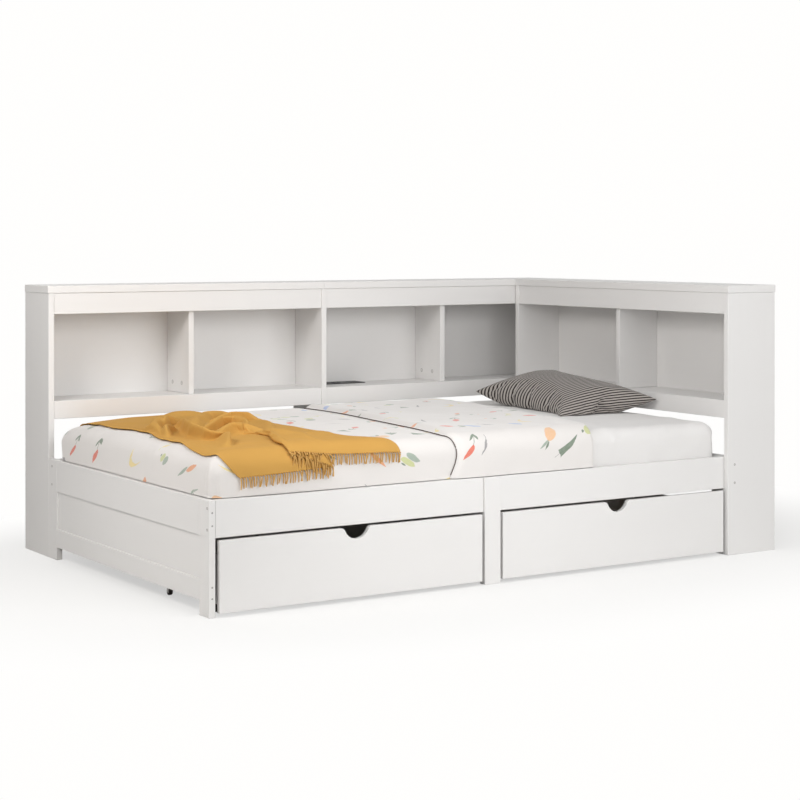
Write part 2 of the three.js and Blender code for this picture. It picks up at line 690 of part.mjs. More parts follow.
// Duvet: one sheet from the foot to the fold and back over itself to its hem.
function addDuvet() {
  const lowest = wayDownTo(railTopZ + duvetRailGap);
  const acrosses = rowsOver(flatY0, flatY1, lowest, duvetSteps.across);
  const half = duvetThickness / 2;
  const lowLift = duvetClearance + half;
  const foldRadius = half + duvetLayerGap / 2;
  const alongRows = [];
  for (const way of edgeWays(lowest)) alongRows.push({ foot: flatX0 - way, turn: -Math.PI / 2 });
  for (let k = 0; k <= duvetSteps.under; k += 1) {
    alongRows.push({ share: k / duvetSteps.under, turn: -Math.PI / 2 });
  }
  for (const turn of [-Math.PI / 4, 0, Math.PI / 4]) alongRows.push({ share: 1, turn });
  for (let k = 0; k <= duvetSteps.over; k += 1) {
    alongRows.push({ back: k / duvetSteps.over, turn: Math.PI / 2 });
  }

  const surface = (side) => (i, j) => {
    const row = alongRows[i];
    const across = acrosses[j];
    const depth = clamp((across - mattressY0) / mattressWidth, 0, 1);
    const foldX = mix(foldFrontX, foldBackX, depth) - foldRadius - half;
    const hemX = mix(hemFrontX, hemBackX, depth);
    let along = foldX;
    if (row.foot !== undefined) along = row.foot;
    else if (row.back !== undefined) along = mix(foldX, hemX, row.back);
    else along = mix(flatX0, foldX, row.share);
    const normalAlong = Math.cos(row.turn);
    const normalLift = Math.sin(row.turn);
    const isTop = side * normalLift === 1;
    along += (foldRadius + side * half) * normalAlong;
    let lift = lowLift + foldRadius + (foldRadius + side * half) * normalLift;
    const free = row.turn > 0 || along < hemX;
    if (isTop && free) lift += rippleAt(along, across);
    return drape(along, across, lift);
  };
  const geometry = gridBody(alongRows.length - 1, acrosses.length - 1, surface(-1), surface(1), false);
  addMesh('duvet', geometry, materials.duvet);
}

// The throw's edges over the bed, from its front hem at depth 0 to the wall side at depth 1. How
// far an edge wanders is a share of the throw's width.
const throwLeftEdge = throwEdge(throwStart, [
  { depth: 0, wander: -0.02 },
  { depth: 0.12, wander: -0.056 },
  { depth: 0.4, wander: -0.046 },
  { depth: 0.54, wander: -0.022 },
  { depth: 0.8, wander: -0.052 },
  { depth: 1, wander: -0.046 },
]);
const throwRightEdge = throwEdge(throwStart + throwWidth, [
  { depth: 0, wander: 0 },
  { depth: 0.13, wander: -0.12 },
  { depth: 0.3, wander: -0.167 },
  { depth: 0.63, wander: -0.221 },
  { depth: 1, wander: -0.172 },
]);

function throwEdge(reach, points) {
  const edgeX = mattressX0 + reach;
  const place = ({ depth, wander }) => new THREE.Vector3(edgeX + wander * throwWidth, depth, 0);
  return new THREE.CatmullRomCurve3(points.map(place));
}

const throwFrontRise = 0.3; // share of a fold's height at the front hem
const throwRiseEnd = 0.8; // the folds are half fallen again at the wall side

// The folds, with centres, widths and drifts as shares of the throw's width.
const throwRidges = [
  { centre: 0.22, width: 0.07, drift: 0.18, height: 1 },
  { centre: 0.45, width: 0.09, drift: -0.25, height: 0.8 },
  { centre: 0.68, width: 0.07, drift: 0.12, height: 0.7 },
  { centre: 0.86, width: 0.05, drift: -0.1, height: 0.5 },
];

// Height of the throw's folds: ridges that run from the wall side to the front and fan out.
function throwFoldAt(share, depth) {
  const ends = Math.sqrt(Math.sin(Math.PI * share));
  const rise = mix(throwFrontRise, 1, Math.sin(Math.PI * mix(0, throwRiseEnd, depth)));
  const ridges = throwRidges.reduce((sum, { centre, width, drift, height }) => {
    const offset = share - centre - drift * (depth - 1 / 2);
    return sum + height * Math.exp(-((offset / width) ** 2));
  }, 0);
  return throwFoldHeight * rise * ends * ridges;
}

// Throw: laid over the duvet with its gathered folds, its front hem hanging over the edge.
function addThrow() {
  const rows = throwSteps.along;
  const hemSteps = [0, 1 / 3, 2 / 3];
  const surface = (thickness) => (i, j) => {
    const share = i / rows;
    const hemWay = wayDownTo(mix(throwHemLeftZ, throwHemRightZ, share));
    const frontAcross = flatY0 - hemWay;
    const lipAcross = flatY0 - lipStart;
    const backAcross = flatY1 + lipStart;
    const beyond = j - hemSteps.length - throwSteps.across;
    let across = mix(lipAcross, backAcross, (j - hemSteps.length) / throwSteps.across);
    if (j < hemSteps.length) across = mix(frontAcross, lipAcross, hemSteps[j]);
    if (beyond > 0) across = flatY1 + mix(lipStart, lipEnd, beyond / lipSteps);
    const depth = clamp((across - mattressY0) / mattressWidth, 0, 1);
    const along = mix(edgeAt(throwLeftEdge, depth), edgeAt(throwRightEdge, depth), share);
    const fold = throwFoldAt(share, depth);
    const base = duvetClearance + duvetThickness + duvetRipple + throwClearance;
    return drape(along, across, base + fold + thickness);
  };
  const columns = hemSteps.length + throwSteps.across + lipSteps - 1;
  const geometry = gridBody(rows, columns, surface(throwThickness), surface(0), false);
  addMesh('throw_blanket', geometry, materials.mustard);
}

// The X of an edge curve at a depth over the bed; the curve's own parameter is found by halving.
function edgeAt(curve, depth) {
  let [low, high] = [0, 1];
  for (let k = 0; k < 20; k += 1) {
    const middle = (low + high) / 2;
    if (curve.getPoint(middle).y < depth) low = middle;
    else high = middle;
  }
  return curve.getPoint((low + high) / 2).x;
}

// Pillow: crowned, with drawn-in sides between its four corners, leaning on the head apron.
const pillowHeadX = headPlaneX - pillowHeadGap;
const pillowLowX = pillowHeadX - pillowWidth;
const pillowFrontY = mattressY0 + pillowFrontInset;
const pillowWallY = pillowFrontY + pillowLength;
const pillowLowZ = mattressTopZ + pillowLowLift;
const pillowHighZ = mattressTopZ + pillowHighLift;
const pillowCorners = {
  lowFront: new THREE.Vector3(pillowLowX, pillowFrontY + pillowSkew, pillowLowZ),
  lowWall: new THREE.Vector3(pillowLowX + pillowTurn, pillowWallY + pillowSkew, pillowLowZ + pillowTilt),
  highFront: new THREE.Vector3(pillowHeadX, pillowFrontY, pillowHighZ),
  highWall: new THREE.Vector3(pillowHeadX, pillowWallY, pillowHighZ + pillowTilt),
};

function addPillow() {
  const rows = pillowSteps.up;
  const columns = pillowSteps.along;
  const surface = (side) => (i, j) => {
    const u = 2 * (i / rows) - 1;
    const v = 2 * (j / columns) - 1;
    const pinchedU = u * (1 - pillowPinch * (1 - v * v));
    const pinchedV = v * (1 - pillowPinch * (1 - u * u));
    const [s, t] = [(1 + pinchedU) / 2, (1 + pinchedV) / 2];
    const low = pillowCorners.lowFront.clone().lerp(pillowCorners.lowWall, t);
    const high = pillowCorners.highFront.clone().lerp(pillowCorners.highWall, t);
    const point = low.lerp(high, s);
    const swell = Math.sqrt((1 - u * u) * (1 - v * v));
    const sheetZ = mattressTopZ + crownAt(point.x, point.y) + pillowClearance;
    const lift = side > 0 ? 1 : pillowUndersideShare;
    const z = point.z + side * lift * pillowHalfThickness * swell;
    return [point.x, point.y, Math.max(z, sheetZ)];
  };
  addMesh('pillow', gridBody(rows, columns, surface(1), surface(-1), true), materials.ticking);
}

addFootEnd();
addSideRails();
addHeadEnd();
addSlats();
addBackBookcase();
addHeadBookcase();
addPowerStrip();
addDrawer('drawer_left', boardThickness, centreLegX);
addDrawer('drawer_right', centreLegX + centreLegWidth, headPlaneX);
addMattress();
addDuvet();
addThrow();
addPillow();

const middleX = headRearX / 2;
const middleY = (headFrontY - topBoardOverhang + bookcaseRearY) / 2;
bed.position.set(-middleX, -middleY, 0);
bed.updateMatrixWorld(true);

export default bed;
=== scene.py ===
"""Looks of a storage bed: painted boards, rolling drawers, and a made-up mattress with a duvet,
a fringed throw and a striped pillow. Lengths are in metres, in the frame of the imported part."""
import json
import math

import bpy
import numpy as np
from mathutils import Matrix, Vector
from mathutils.geometry import tessellate_polygon


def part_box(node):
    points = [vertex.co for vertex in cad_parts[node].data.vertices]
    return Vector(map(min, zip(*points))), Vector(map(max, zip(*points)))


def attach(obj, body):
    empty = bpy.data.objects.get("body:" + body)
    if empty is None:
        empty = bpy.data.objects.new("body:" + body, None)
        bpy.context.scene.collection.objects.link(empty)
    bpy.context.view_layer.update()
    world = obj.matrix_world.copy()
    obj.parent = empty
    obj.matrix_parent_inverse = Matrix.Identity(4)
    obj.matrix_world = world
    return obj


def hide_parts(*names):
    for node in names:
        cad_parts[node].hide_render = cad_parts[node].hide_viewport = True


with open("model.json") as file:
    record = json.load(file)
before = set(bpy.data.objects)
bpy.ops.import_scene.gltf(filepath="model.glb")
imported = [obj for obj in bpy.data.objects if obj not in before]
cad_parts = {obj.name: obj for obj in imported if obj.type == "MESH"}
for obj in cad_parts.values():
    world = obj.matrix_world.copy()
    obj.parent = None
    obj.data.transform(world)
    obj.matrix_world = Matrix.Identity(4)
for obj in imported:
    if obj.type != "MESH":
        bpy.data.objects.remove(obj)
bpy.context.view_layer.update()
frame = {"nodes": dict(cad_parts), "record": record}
RECORD = frame["record"]
SLOT_OF = {part["node"]: part["material_slot"] for part in RECORD["subparts"]}
BODY_OF = {node: body for body, nodes in RECORD["behaviour"]["bodies"].items() for node in nodes}

# Arrays into meshes.


def box_of(node):
    """Lowest and highest corner of a node, as arrays."""
    low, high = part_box(node)
    return np.array(low), np.array(high)


def grid_quads(rows, columns, wrap=False):
    """Quads of a grid of points kept row after row; with wrap, the last column meets the first."""
    i = np.arange(rows - 1)[:, None] * columns
    j = np.arange(columns if wrap else columns - 1)[None, :]
    beside = (j + 1) % columns
    corners = [i + j, i + beside, i + columns + beside, i + columns + j]
    return np.stack(corners, -1).reshape(-1, 4)


def as_triangles(quads):
    """Each quad cut along its diagonal."""
    return np.concatenate([quads[:, [0, 1, 2]], quads[:, [0, 2, 3]]])


def outward(points, faces):
    """The faces, turned round if the volume inside, a sixth of the sum of their triangles' triple
    products, is below zero."""
    triangles = faces if faces.shape[1] == 3 else as_triangles(faces)
    a, b, c = points[triangles.T]
    return faces[:, ::-1] if np.einsum("ij,ij->i", a, np.cross(b, c)).sum() < 0 else faces


def shell(points, triangles, normals):
    """A closed shell: equal points merged, empty triangles dropped, and all turned outwards."""
    keys = np.round(np.concatenate([points, normals], 1), 6)
    _, first, number = np.unique(keys, axis=0, return_index=True, return_inverse=True)
    triangles = number.reshape(-1)[triangles]
    a, b, c = triangles.T
    triangles = triangles[(a != b) & (b != c) & (c != a)]
    return points[first], outward(points[first], triangles), normals[first]


def together(shells):
    """Several shells as one list of points, triangles and normals."""
    points, triangles, normals = zip(*shells)
    starts = np.cumsum([0, *map(len, points[:-1])])
    triangles = [faces + start for faces, start in zip(triangles, starts)]
    return tuple(map(np.concatenate, (points, triangles, normals)))


def set_all(items, attribute, values, kind=np.float32):
    """Sets an attribute of all items of a mesh."""
    items.foreach_set(attribute, np.ascontiguousarray(values, kind).ravel())


def added(name, data):
    """An object with the given data, put in the scene."""
    made = bpy.data.objects.new(name, data)
    bpy.context.scene.collection.objects.link(made)
    return made


def new_piece(name, points, faces, material, body="bed_frame", normals=None, uv=None, slot=None):
    """A mesh object from arrays of points and of faces with equal corner counts. Normals, where
    given, are the exact ones of the formula; uv, in metres on the cloth, is the map "cloth"."""
    mesh = bpy.data.meshes.new(name)
    corners = faces.shape[1]
    mesh.vertices.add(len(points))
    set_all(mesh.vertices, "co", points)
    mesh.loops.add(faces.size)
    set_all(mesh.loops, "vertex_index", faces, np.int32)
    mesh.polygons.add(len(faces))
    set_all(mesh.polygons, "loop_start", np.arange(0, faces.size, corners), np.int32)
    mesh.update(calc_edges=True)
    mesh.validate()
    set_all(mesh.polygons, "use_smooth", np.ones(len(mesh.polygons)), bool)
    if normals is not None:
        mesh.normals_split_custom_set_from_vertices(normals.tolist())
    if uv is not None:
        set_all(mesh.uv_layers.new(name="cloth").data, "uv", uv[faces.ravel()])
    piece = added(name, mesh)
    mesh.materials.append(material)
    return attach(piece, body)


def solid(name, shape, material, body="bed_frame", slot=None, replaced=None):
    """A piece from a closed shell, or from several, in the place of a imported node."""
    points, triangles, normals = together(shape) if isinstance(shape, list) else shape
    piece = new_piece(name, points, triangles, material, body, normals, slot=slot)
    if replaced:
        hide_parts(replaced)
    return piece


# Shapes of the wooden parts.

ROUND_STEPS = 3


def rounded_box(low, high, radius):
    """A box with round edges. Each point is the centre of a corner's ball plus the radius along a
    direction; the direction turns through an eighth of a sphere at each of the eight corners."""
    radius = min(radius, 0.49 * float((high - low).min()))
    turn = np.linspace(0, math.pi / 2, ROUND_STEPS + 1)
    azimuth = (np.arange(4)[:, None] * math.pi / 2 + turn).ravel()
    elevation = np.concatenate([turn - math.pi / 2, turn])
    side_x = np.repeat([1, 0, 0, 1], ROUND_STEPS + 1)
    side_y = np.repeat([1, 1, 0, 0], ROUND_STEPS + 1)
    side_z = np.repeat([0, 1], ROUND_STEPS + 1)
    shape = (len(elevation), len(azimuth))
    level, rise = np.cos(elevation)[:, None], np.sin(elevation)[:, None]
    normals = np.broadcast_arrays(level * np.cos(azimuth), level * np.sin(azimuth), rise)
    normals = np.stack(normals, -1)
    side = np.stack(np.broadcast_arrays(side_x, side_y, side_z[:, None]), -1)
    centres = low + radius + side * (high - low - 2 * radius)
    points = centres + radius * normals
    quads = grid_quads(*shape, wrap=True)
    corner = np.arange(4) * (ROUND_STEPS + 1)
    ends = np.array([corner[::-1], corner + (shape[0] - 1) * shape[1]])
    triangles = as_triangles(np.concatenate([quads, ends]))
    return shell(points.reshape(-1, 3), triangles, normals.reshape(-1, 3))


def arc(centre, radius, start, end, steps, hollow=False):
    """Points on an arc and their outward directions, which face the centre where it is hollow."""
    angle = np.linspace(start, end, steps + 1)
    direction = np.stack([np.cos(angle), np.sin(angle)], -1)
    return np.array(centre) + radius * direction, -direction if hollow else direction


def notched_front(low, high, radius):
    """A drawer front: an outline in X and Z with round corners and, in the middle of its top, a
    round bite with a fillet on each shoulder; every point of the outline is carried over the
    thickness along a quarter circle, straight across, and along a second quarter circle."""
    bite_depth, bite_radius, fillet = 0.036, 0.046, 0.014
    middle = (low[0] + high[0]) / 2
    top = high[2]
    bite_z, fillet_z = top - bite_depth + bite_radius, top - fillet
    reach = bite_radius + fillet
    shoulder = math.asin((bite_z - fillet_z) / reach)
    fillet_x = reach * math.cos(shoulder)
    quarter = math.pi / 2
    outline = [
        arc((low[0] + radius, low[2] + radius), radius, -2 * quarter, -quarter, ROUND_STEPS),
        arc((high[0] - radius, low[2] + radius), radius, -quarter, 0, ROUND_STEPS),
        arc((high[0] - radius, top - radius), radius, 0, quarter, ROUND_STEPS),
        arc((middle + fillet_x, fillet_z), fillet, quarter, math.pi - shoulder, 8),
        arc((middle, bite_z), bite_radius, -shoulder, -math.pi + shoulder, 24, hollow=True),
        arc((middle - fillet_x, fillet_z), fillet, shoulder, quarter, 8),
        arc((low[0] + radius, top - radius), radius, quarter, 2 * quarter, ROUND_STEPS),
    ]
    flat = np.concatenate([points for points, _ in outline])
    facing = np.concatenate([directions for _, directions in outline])
    turn = np.linspace(0, quarter, ROUND_STEPS + 1)
    side = np.concatenate([-np.cos(turn), np.sin(turn)])
    spread = np.concatenate([np.sin(turn), np.cos(turn)])
    across = np.concatenate([
        low[1] + radius * (1 - np.cos(turn)), high[1] - radius * (1 - np.sin(turn)),
    ])
    rim = flat[None] - radius * (1 - spread)[:, None, None] * facing[None]
    points = np.stack(np.broadcast_arrays(rim[..., 0], across[:, None], rim[..., 1]), -1)
    tilted = spread[:, None, None] * facing
    normals = np.stack(np.broadcast_arrays(tilted[..., 0], side[:, None], tilted[..., 1]), -1)
    rows, columns = rim.shape[:2]
    cap = np.array(tessellate_polygon([[Vector((x, z, 0)) for x, z in rim[0].tolist()]]))
    quads = as_triangles(grid_quads(rows, columns, wrap=True))
    last = (rows - 1) * columns
    forward = np.cross(*(rim[0][cap[:, k]] - rim[0][cap[:, 0]] for k in (1, 2))) > 0
    cap = np.where(forward[:, None], cap, cap[:, ::-1])
    triangles = np.concatenate([quads, cap[:, ::-1], cap + last])
    return shell(points.reshape(-1, 3), triangles, normals.reshape(-1, 3))


def turned(profile, centre, axis, segments=24):
    """A solid of revolution: each point of the profile, a radius and a height along the axis, goes
    round the axis. The normals are square to the profile, and sharp where it has a corner."""
    profile = np.array(profile, float)
    step = np.diff(profile, axis=0)
    facing = np.stack([step[:, 1], -step[:, 0]], -1) / np.linalg.norm(step, axis=1)[:, None]
    ends = np.stack([profile[:-1], profile[1:]], 1)
    axis = Vector(axis).normalized()
    one = np.array(axis.orthogonal().normalized())
    axis = np.array(axis)
    two = np.cross(axis, one)
    angle = np.linspace(0, 2 * math.pi, segments, endpoint=False)
    around = np.cos(angle)[:, None] * one + np.sin(angle)[:, None] * two
    radius, height = ends[..., 0].reshape(-1, 1, 1), ends[..., 1].reshape(-1, 1, 1)
    points = np.array(centre) + radius * around + height * axis
    facing = np.repeat(facing, 2, axis=0)
    normals = facing[:, 0, None, None] * around + facing[:, 1, None, None] * axis
    band = as_triangles(grid_quads(2, segments, wrap=True))
    triangles = np.concatenate([band + 2 * segments * k for k in range(len(step))])
    points, normals = points.reshape(-1, 3), normals.reshape(-1, 3)
    a, b, c = points[triangles.T]
    return shell(points, triangles[np.linalg.norm(np.cross(b - a, c - a), axis=1) > 1e-12], normals)


# Shader maths.


def operator(kind, swapped=False):
    """A method that adds a Math node between a signal and another value, in either order."""
    def apply(self, other):
        return self.finish.math(kind, *((other, self) if swapped else (self, other)))
    return apply


class Signal:
    """An output socket; arithmetic on it adds Math nodes."""
    __add__, __radd__ = operator("ADD"), operator("ADD", True)
    __sub__, __rsub__ = operator("SUBTRACT"), operator("SUBTRACT", True)
    __mul__, __rmul__ = operator("MULTIPLY"), operator("MULTIPLY", True)
    __truediv__ = operator("DIVIDE")

    def __init__(self, finish, socket):
        self.finish, self.socket = finish, socket

    def __abs__(self):
        return self.math("ABSOLUTE")

    def math(self, kind, *others):
        return self.finish.math(kind, self, *others)

    def clipped(self):
        """Held between 0 and 1."""
        return self.math("MAXIMUM", 0.0).math("MINIMUM", 1.0)


class Finish:
    """A material, or another owner of nodes. Its shader has fixed numbers on its own sockets, and
    signals on a few of them."""

    def __init__(self, name, owner=None, shader="Principled BSDF", **fixed):
        self.material = owner or bpy.data.materials.new(name)
        self.material.use_nodes = True
        self.tree = self.material.node_tree
        self.shader = self.tree.nodes[shader]
        for key, value in fixed.items():
            self.feed(self.shader.inputs[key.replace("_", " ")], value)

    def feed(self, socket, value):
        if isinstance(value, Signal):
            self.tree.links.new(value.socket, socket)
        else:
            socket.default_value = value

    def node(self, kind, settings=None, sockets=None, output=0):
        """Adds a node: its type, its settings, then the values or signals of its sockets."""
        made = self.tree.nodes.new(kind)
        for key, value in (settings or {}).items():
            if key == "stops":
                while len(made.color_ramp.elements) < len(value):
                    made.color_ramp.elements.new(1.0)
                for element, (place, colour) in zip(made.color_ramp.elements, value):
                    element.position, element.color = place, (*colour, 1.0)
            else:
                setattr(made, key, value)
        for key, value in (sockets or {}).items():
            self.feed(made.inputs[key], value)
        return Signal(self, made.outputs[output])

    def math(self, operation, *values):
        return self.node("ShaderNodeMath", {"operation": operation}, dict(enumerate(values)))

    def split(self, value, kind="ShaderNodeSeparateXYZ"):
        """The three parts of a vector or of a colour."""
        outputs = self.node(kind, None, {0: value}).socket.node.outputs
        return [Signal(self, output) for output in outputs[:3]]

    def vector(self, operation, sockets, output=0):
        return self.node("ShaderNodeVectorMath", {"operation": operation}, sockets, output)

    def where(self, scale=(1, 1, 1)):
        """Place on the piece in metres, stretched by a Mapping node."""
        place = self.node("ShaderNodeTexCoord", output="Object")
        return self.node("ShaderNodeMapping", None, {"Vector": place, "Scale": scale})

    def noise(self, vector, scale, detail=2.0, roughness=0.5, distortion=0.0):
        names = ("Vector", "Scale", "Detail", "Roughness", "Distortion")
        values = (vector, scale, detail, roughness, distortion)
        return self.node("ShaderNodeTexNoise", None, dict(zip(names, values)))

    def blend(self, share, first, second):
        """Colours mixed: a Mix node's sockets 6 and 7 are colours, and so is its output 2."""
        return self.node("ShaderNodeMix", {"data_type": "RGBA"}, {0: share, 6: first, 7: second}, 2)

    def bump(self, height, strength, distance):
        sockets = {"Height": height, "Strength": strength, "Distance": distance}
        self.feed(self.shader.inputs["Normal"], self.node("ShaderNodeBump", None, sockets))

    def colour(self, value):
        self.feed(self.shader.inputs["Base Color"], value)
        return self

    def dull(self, value):
        self.feed(self.shader.inputs["Roughness"], value)
        return self


def grey(level, warmth=0.0):
    """A pale colour: the level, with red raised and blue lowered by the warmth."""
    return (level * (1 + warmth), level, level * (1 - warmth), 1.0)


def painted_board(name, along, level=0.80, warmth=0.008):
    """Satin white paint on board: soft cloudiness in the tone, an orange-peel skin, and the grain
    below it as long faint ridges along the board."""
    finish = Finish(name, Coat_Weight=0.15, Coat_Roughness=0.35, Specular_IOR_Level=0.4)
    squeeze = {"x": (1.2, 30, 30), "y": (30, 1.2, 30), "z": (30, 30, 1.2)}[along]
    grain = finish.noise(finish.where(squeeze), 3.0, 4.0, 0.55, 0.4)
    patches = finish.noise(finish.where(), 2.6, 3.0)
    peel = finish.noise(finish.where(), 420.0, 2.0)
    tone = (0.7 * patches + 0.3 * grain).clipped()
    colour = finish.blend(tone, grey(level * 0.975, warmth * 1.6), grey(level * 1.015, warmth))
    finish.colour(colour).dull(0.38 + 0.1 * patches + 0.04 * peel)
    finish.bump(0.6 * grain + 0.4 * peel, 0.12, 0.0004)
    return finish.material


def bare_wood(name, along):
    """Pale softwood: growth rings as stretched bands, with darker late wood and fine pores."""
    finish = Finish(name, Specular_IOR_Level=0.3)
    squeeze = {"x": (0.6, 14, 14), "y": (14, 0.6, 14)}[along]
    rings = finish.noise(finish.where(squeeze), 4.0, 5.0, 0.6, 1.2)
    pores = finish.noise(finish.where(tuple(6 * s for s in squeeze)), 9.0, 2.0)
    stops = [(0.3, (0.56, 0.38, 0.20)), (0.5, (0.68, 0.50, 0.29)), (0.7, (0.75, 0.58, 0.36))]
    colour = finish.node("ShaderNodeValToRGB", {"stops": stops}, {"Fac": rings})
    finish.colour(finish.blend(0.25 * pores, colour, (0.45, 0.3, 0.16, 1))).dull(0.55 + 0.2 * pores)
    finish.bump(0.5 * rings + 0.5 * pores, 0.3, 0.0006)
    return finish.material


def moulded(name, colour, roughness, scale=700.0):
    """Moulded plastic or rubber: one colour with a fine spark-eroded skin and faint smears."""
    finish = Finish(name, Specular_IOR_Level=0.4)
    skin = finish.noise(finish.where(), scale, 3.0)
    smear = finish.noise(finish.where(), 18.0, 2.0)
    light = tuple(min(1.0, 1.15 * c + 0.004) for c in colour)
    finish.colour(finish.blend(smear, (*colour, 1), (*light, 1)))
    finish.dull(roughness - 0.06 + 0.12 * smear).bump(skin, 0.15, 0.0003)
    return finish.material


def metal(name, colour, roughness):
    """Plated steel: faint turning marks in the roughness, and specks of wear."""
    finish = Finish(name, Metallic=1.0)
    marks = finish.noise(finish.where(), 900.0, 2.0)
    specks = finish.noise(finish.where(), 160.0, 3.0)
    dark = tuple(0.75 * c for c in colour)
    finish.colour(finish.blend(specks, (*dark, 1), (*colour, 1))).dull(roughness + 0.12 * marks)
    finish.bump(marks, 0.1, 0.0002)
    return finish.material


PAINT = {axis: painted_board(f"white_paint_along_{axis}", axis) for axis in "xyz"}
REAR_BOARD = {axis: painted_board(f"rear_board_along_{axis}", axis, 0.77, 0.01) for axis in "xyz"}
SLAT_WOOD = bare_wood("slat_wood", "y")
BEAM_WOOD = bare_wood("beam_wood", "x")
BOLT_METAL = metal("bolt_metal", (0.42, 0.40, 0.38), 0.35)
PLUG_GREY = moulded("plug_grey", (0.36, 0.35, 0.34), 0.5)
TYRE_RUBBER = moulded("wheel_rubber", (0.045, 0.035, 0.03), 0.65)
FORK_STEEL = metal("fork_steel", (0.62, 0.61, 0.60), 0.3)
BLACK_PLASTIC = moulded("black_plastic", (0.012, 0.012, 0.013), 0.42)

# Boards.

EDGE_RADIUS, FRONT_EDGE_RADIUS, BOTTOM_EDGE_RADIUS = 0.0016, 0.002, 0.0015
BOTTOM_THICKNESS = 0.006
LEDGERED = {"front_rail_left", "front_rail_right", "back_rail"}
SPECIAL = LEDGERED | {"drawer_left_front", "drawer_right_front", "slat_roll", "centre_beam"}


def longest(low, high):
    return "xyz"[int(np.argmax(high - low))]


for node, slot in SLOT_OF.items():
    if slot not in ("white_paint", "rear_board") or node in SPECIAL or node.endswith("_bottom"):
        continue
    low, high = box_of(node)
    material = (REAR_BOARD if slot == "rear_board" else PAINT)[longest(low, high)]
    board = rounded_box(low, high, EDGE_RADIUS)
    solid(f"{node}_painted", board, material, BODY_OF[node], slot, node)

RAIL_THICKNESS, LEDGER_HEIGHT, LEDGER_TOP = 0.0215, 0.025, 0.2814
for node in sorted(LEDGERED):
    low, high = box_of(node)
    wall_side = node == "back_rail"
    face = [high[1] - RAIL_THICKNESS, high[1]] if wall_side else [low[1], low[1] + RAIL_THICKNESS]
    inner = [low[1], face[0] + 1e-4] if wall_side else [face[1] - 1e-4, high[1]]
    ledger = [LEDGER_TOP - LEDGER_HEIGHT, LEDGER_TOP]
    boards = [
        rounded_box(*np.array([[low[0], high[0]], across, heights]).T, EDGE_RADIUS)
        for across, heights in ((face, [low[2], high[2]]), (inner, ledger))
    ]
    solid(f"{node}_painted", boards, PAINT["x"], slot="white_paint", replaced=node)

for side in ("left", "right"):
    node = f"drawer_{side}_front"
    front = notched_front(*box_of(node), FRONT_EDGE_RADIUS)
    solid(f"{node}_painted", front, PAINT["x"], f"{side}_drawer", "white_paint", node)

for node, material in {"slat_roll": SLAT_WOOD, "centre_beam": BEAM_WOOD}.items():
    frame["nodes"][node].data.materials.clear()
    frame["nodes"][node].data.materials.append(material)

# Drawer bottoms and casters.


def fork_shells(centre, top):
    """A pressed caster fork: a plate with round edges, a cheek on each side, four screw heads, and
    the axle's two riveted ends."""
    width, cheek = 0.0065, 0.0015
    low, high = centre + (-0.008, -0.018, 0), centre + (0.008, 0.018, 0)
    low[2], high[2] = top - 0.002, top
    shells = [rounded_box(low, high, 0.0006)]
    for way in (-1, 1):
        inner, outer = sorted([centre[0] + way * width, centre[0] + way * (width + cheek)])
        cheek_low = np.array([inner, centre[1] - 0.0062, centre[2] - 0.004])
        cheek_high = np.array([outer, centre[1] + 0.0062, top - 0.001])
        shells.append(rounded_box(cheek_low, cheek_high, 0.0005))
        end = centre + (way * (width + cheek), 0, 0)
        rivet = [(0, -0.0005), (0.0026, -0.0005), (0.0026, 0.0003), (0.0016, 0.0009), (0, 0.0009)]
        shells.append(turned(rivet, end, (way, 0, 0), 12))
        for along in (-0.0125, 0.0125):
            head = centre + (way * 0.004, along, 0)
            head[2] = top - 0.002
            dome = [(0, -0.0002), (0.002, -0.0002), (0.0017, 0.0006), (0, 0.0009)]
            shells.append(turned(dome, head, (0, 0, -1), 10))
    return shells


# From the bore over the hub, the web and the tyre's edge to its middle, and back on the other side.
WHEEL_HALF = [
    (0.0023, 0.0055), (0.0045, 0.0055), (0.0049, 0.0042), (0.0085, 0.0042), (0.009, 0.006),
    (0.0105, 0.006), (0.0119, 0.0054), (0.0125, 0.004),
]
WHEEL_SIDE = [(radius, -height) for radius, height in WHEEL_HALF]
WHEEL_PROFILE = WHEEL_SIDE + WHEEL_HALF[::-1] + WHEEL_SIDE[:1]

for side in ("left", "right"):
    bottom = f"drawer_{side}_bottom"
    low, high = box_of(bottom)
    low[2] = high[2] - BOTTOM_THICKNESS
    base = rounded_box(low, high, BOTTOM_EDGE_RADIUS)
    solid(f"{bottom}_painted", base, PAINT["x"], f"{side}_drawer", "white_paint", bottom)
    wheels = [node for node in SLOT_OF if node.startswith(f"drawer_{side}_wheel")]
    axles = {node: sum(box_of(node)) / 2 for node in wheels}
    forks = [shape for centre in axles.values() for shape in fork_shells(centre, low[2])]
    solid(f"drawer_{side}_caster_forks", forks, FORK_STEEL, f"{side}_drawer")
    for node, centre in axles.items():
        wheel = turned(WHEEL_PROFILE, centre, (1, 0, 0), 32)
        solid(f"{node}_moulded", wheel, TYRE_RUBBER, BODY_OF[node], "wheel", node)

# Bolts, plugs and covers.


# Each is a radius and a profile: shares of the radius, and heights over the face in millimetres.
# A bolt end has a low rim and a sunk socket, a plug is a shallow dome, and a cam cover is a rim
# round a sunk disc with a raised middle.
BARREL_BOLT = 0.0042, [
    (0, -1), (1, -1), (1, 0.2), (0.85, 0.5), (0.7, 0.4), (0.48, 0.2), (0.42, -0.8), (0, -0.8),
]
SCREW_PLUG = 0.003, [(0, -1), (1, -1), (1, 0.1), (0.9, 0.4), (0, 0.5)]
CAM_COVER = 0.0075, [
    (0, -0.8), (1, -0.8), (1, 0.2), (0.9, 0.6), (0.76, 0.5), (0.72, -0.2), (0.3, -0.2),
    (0.26, 0.3), (0, 0.3),
]


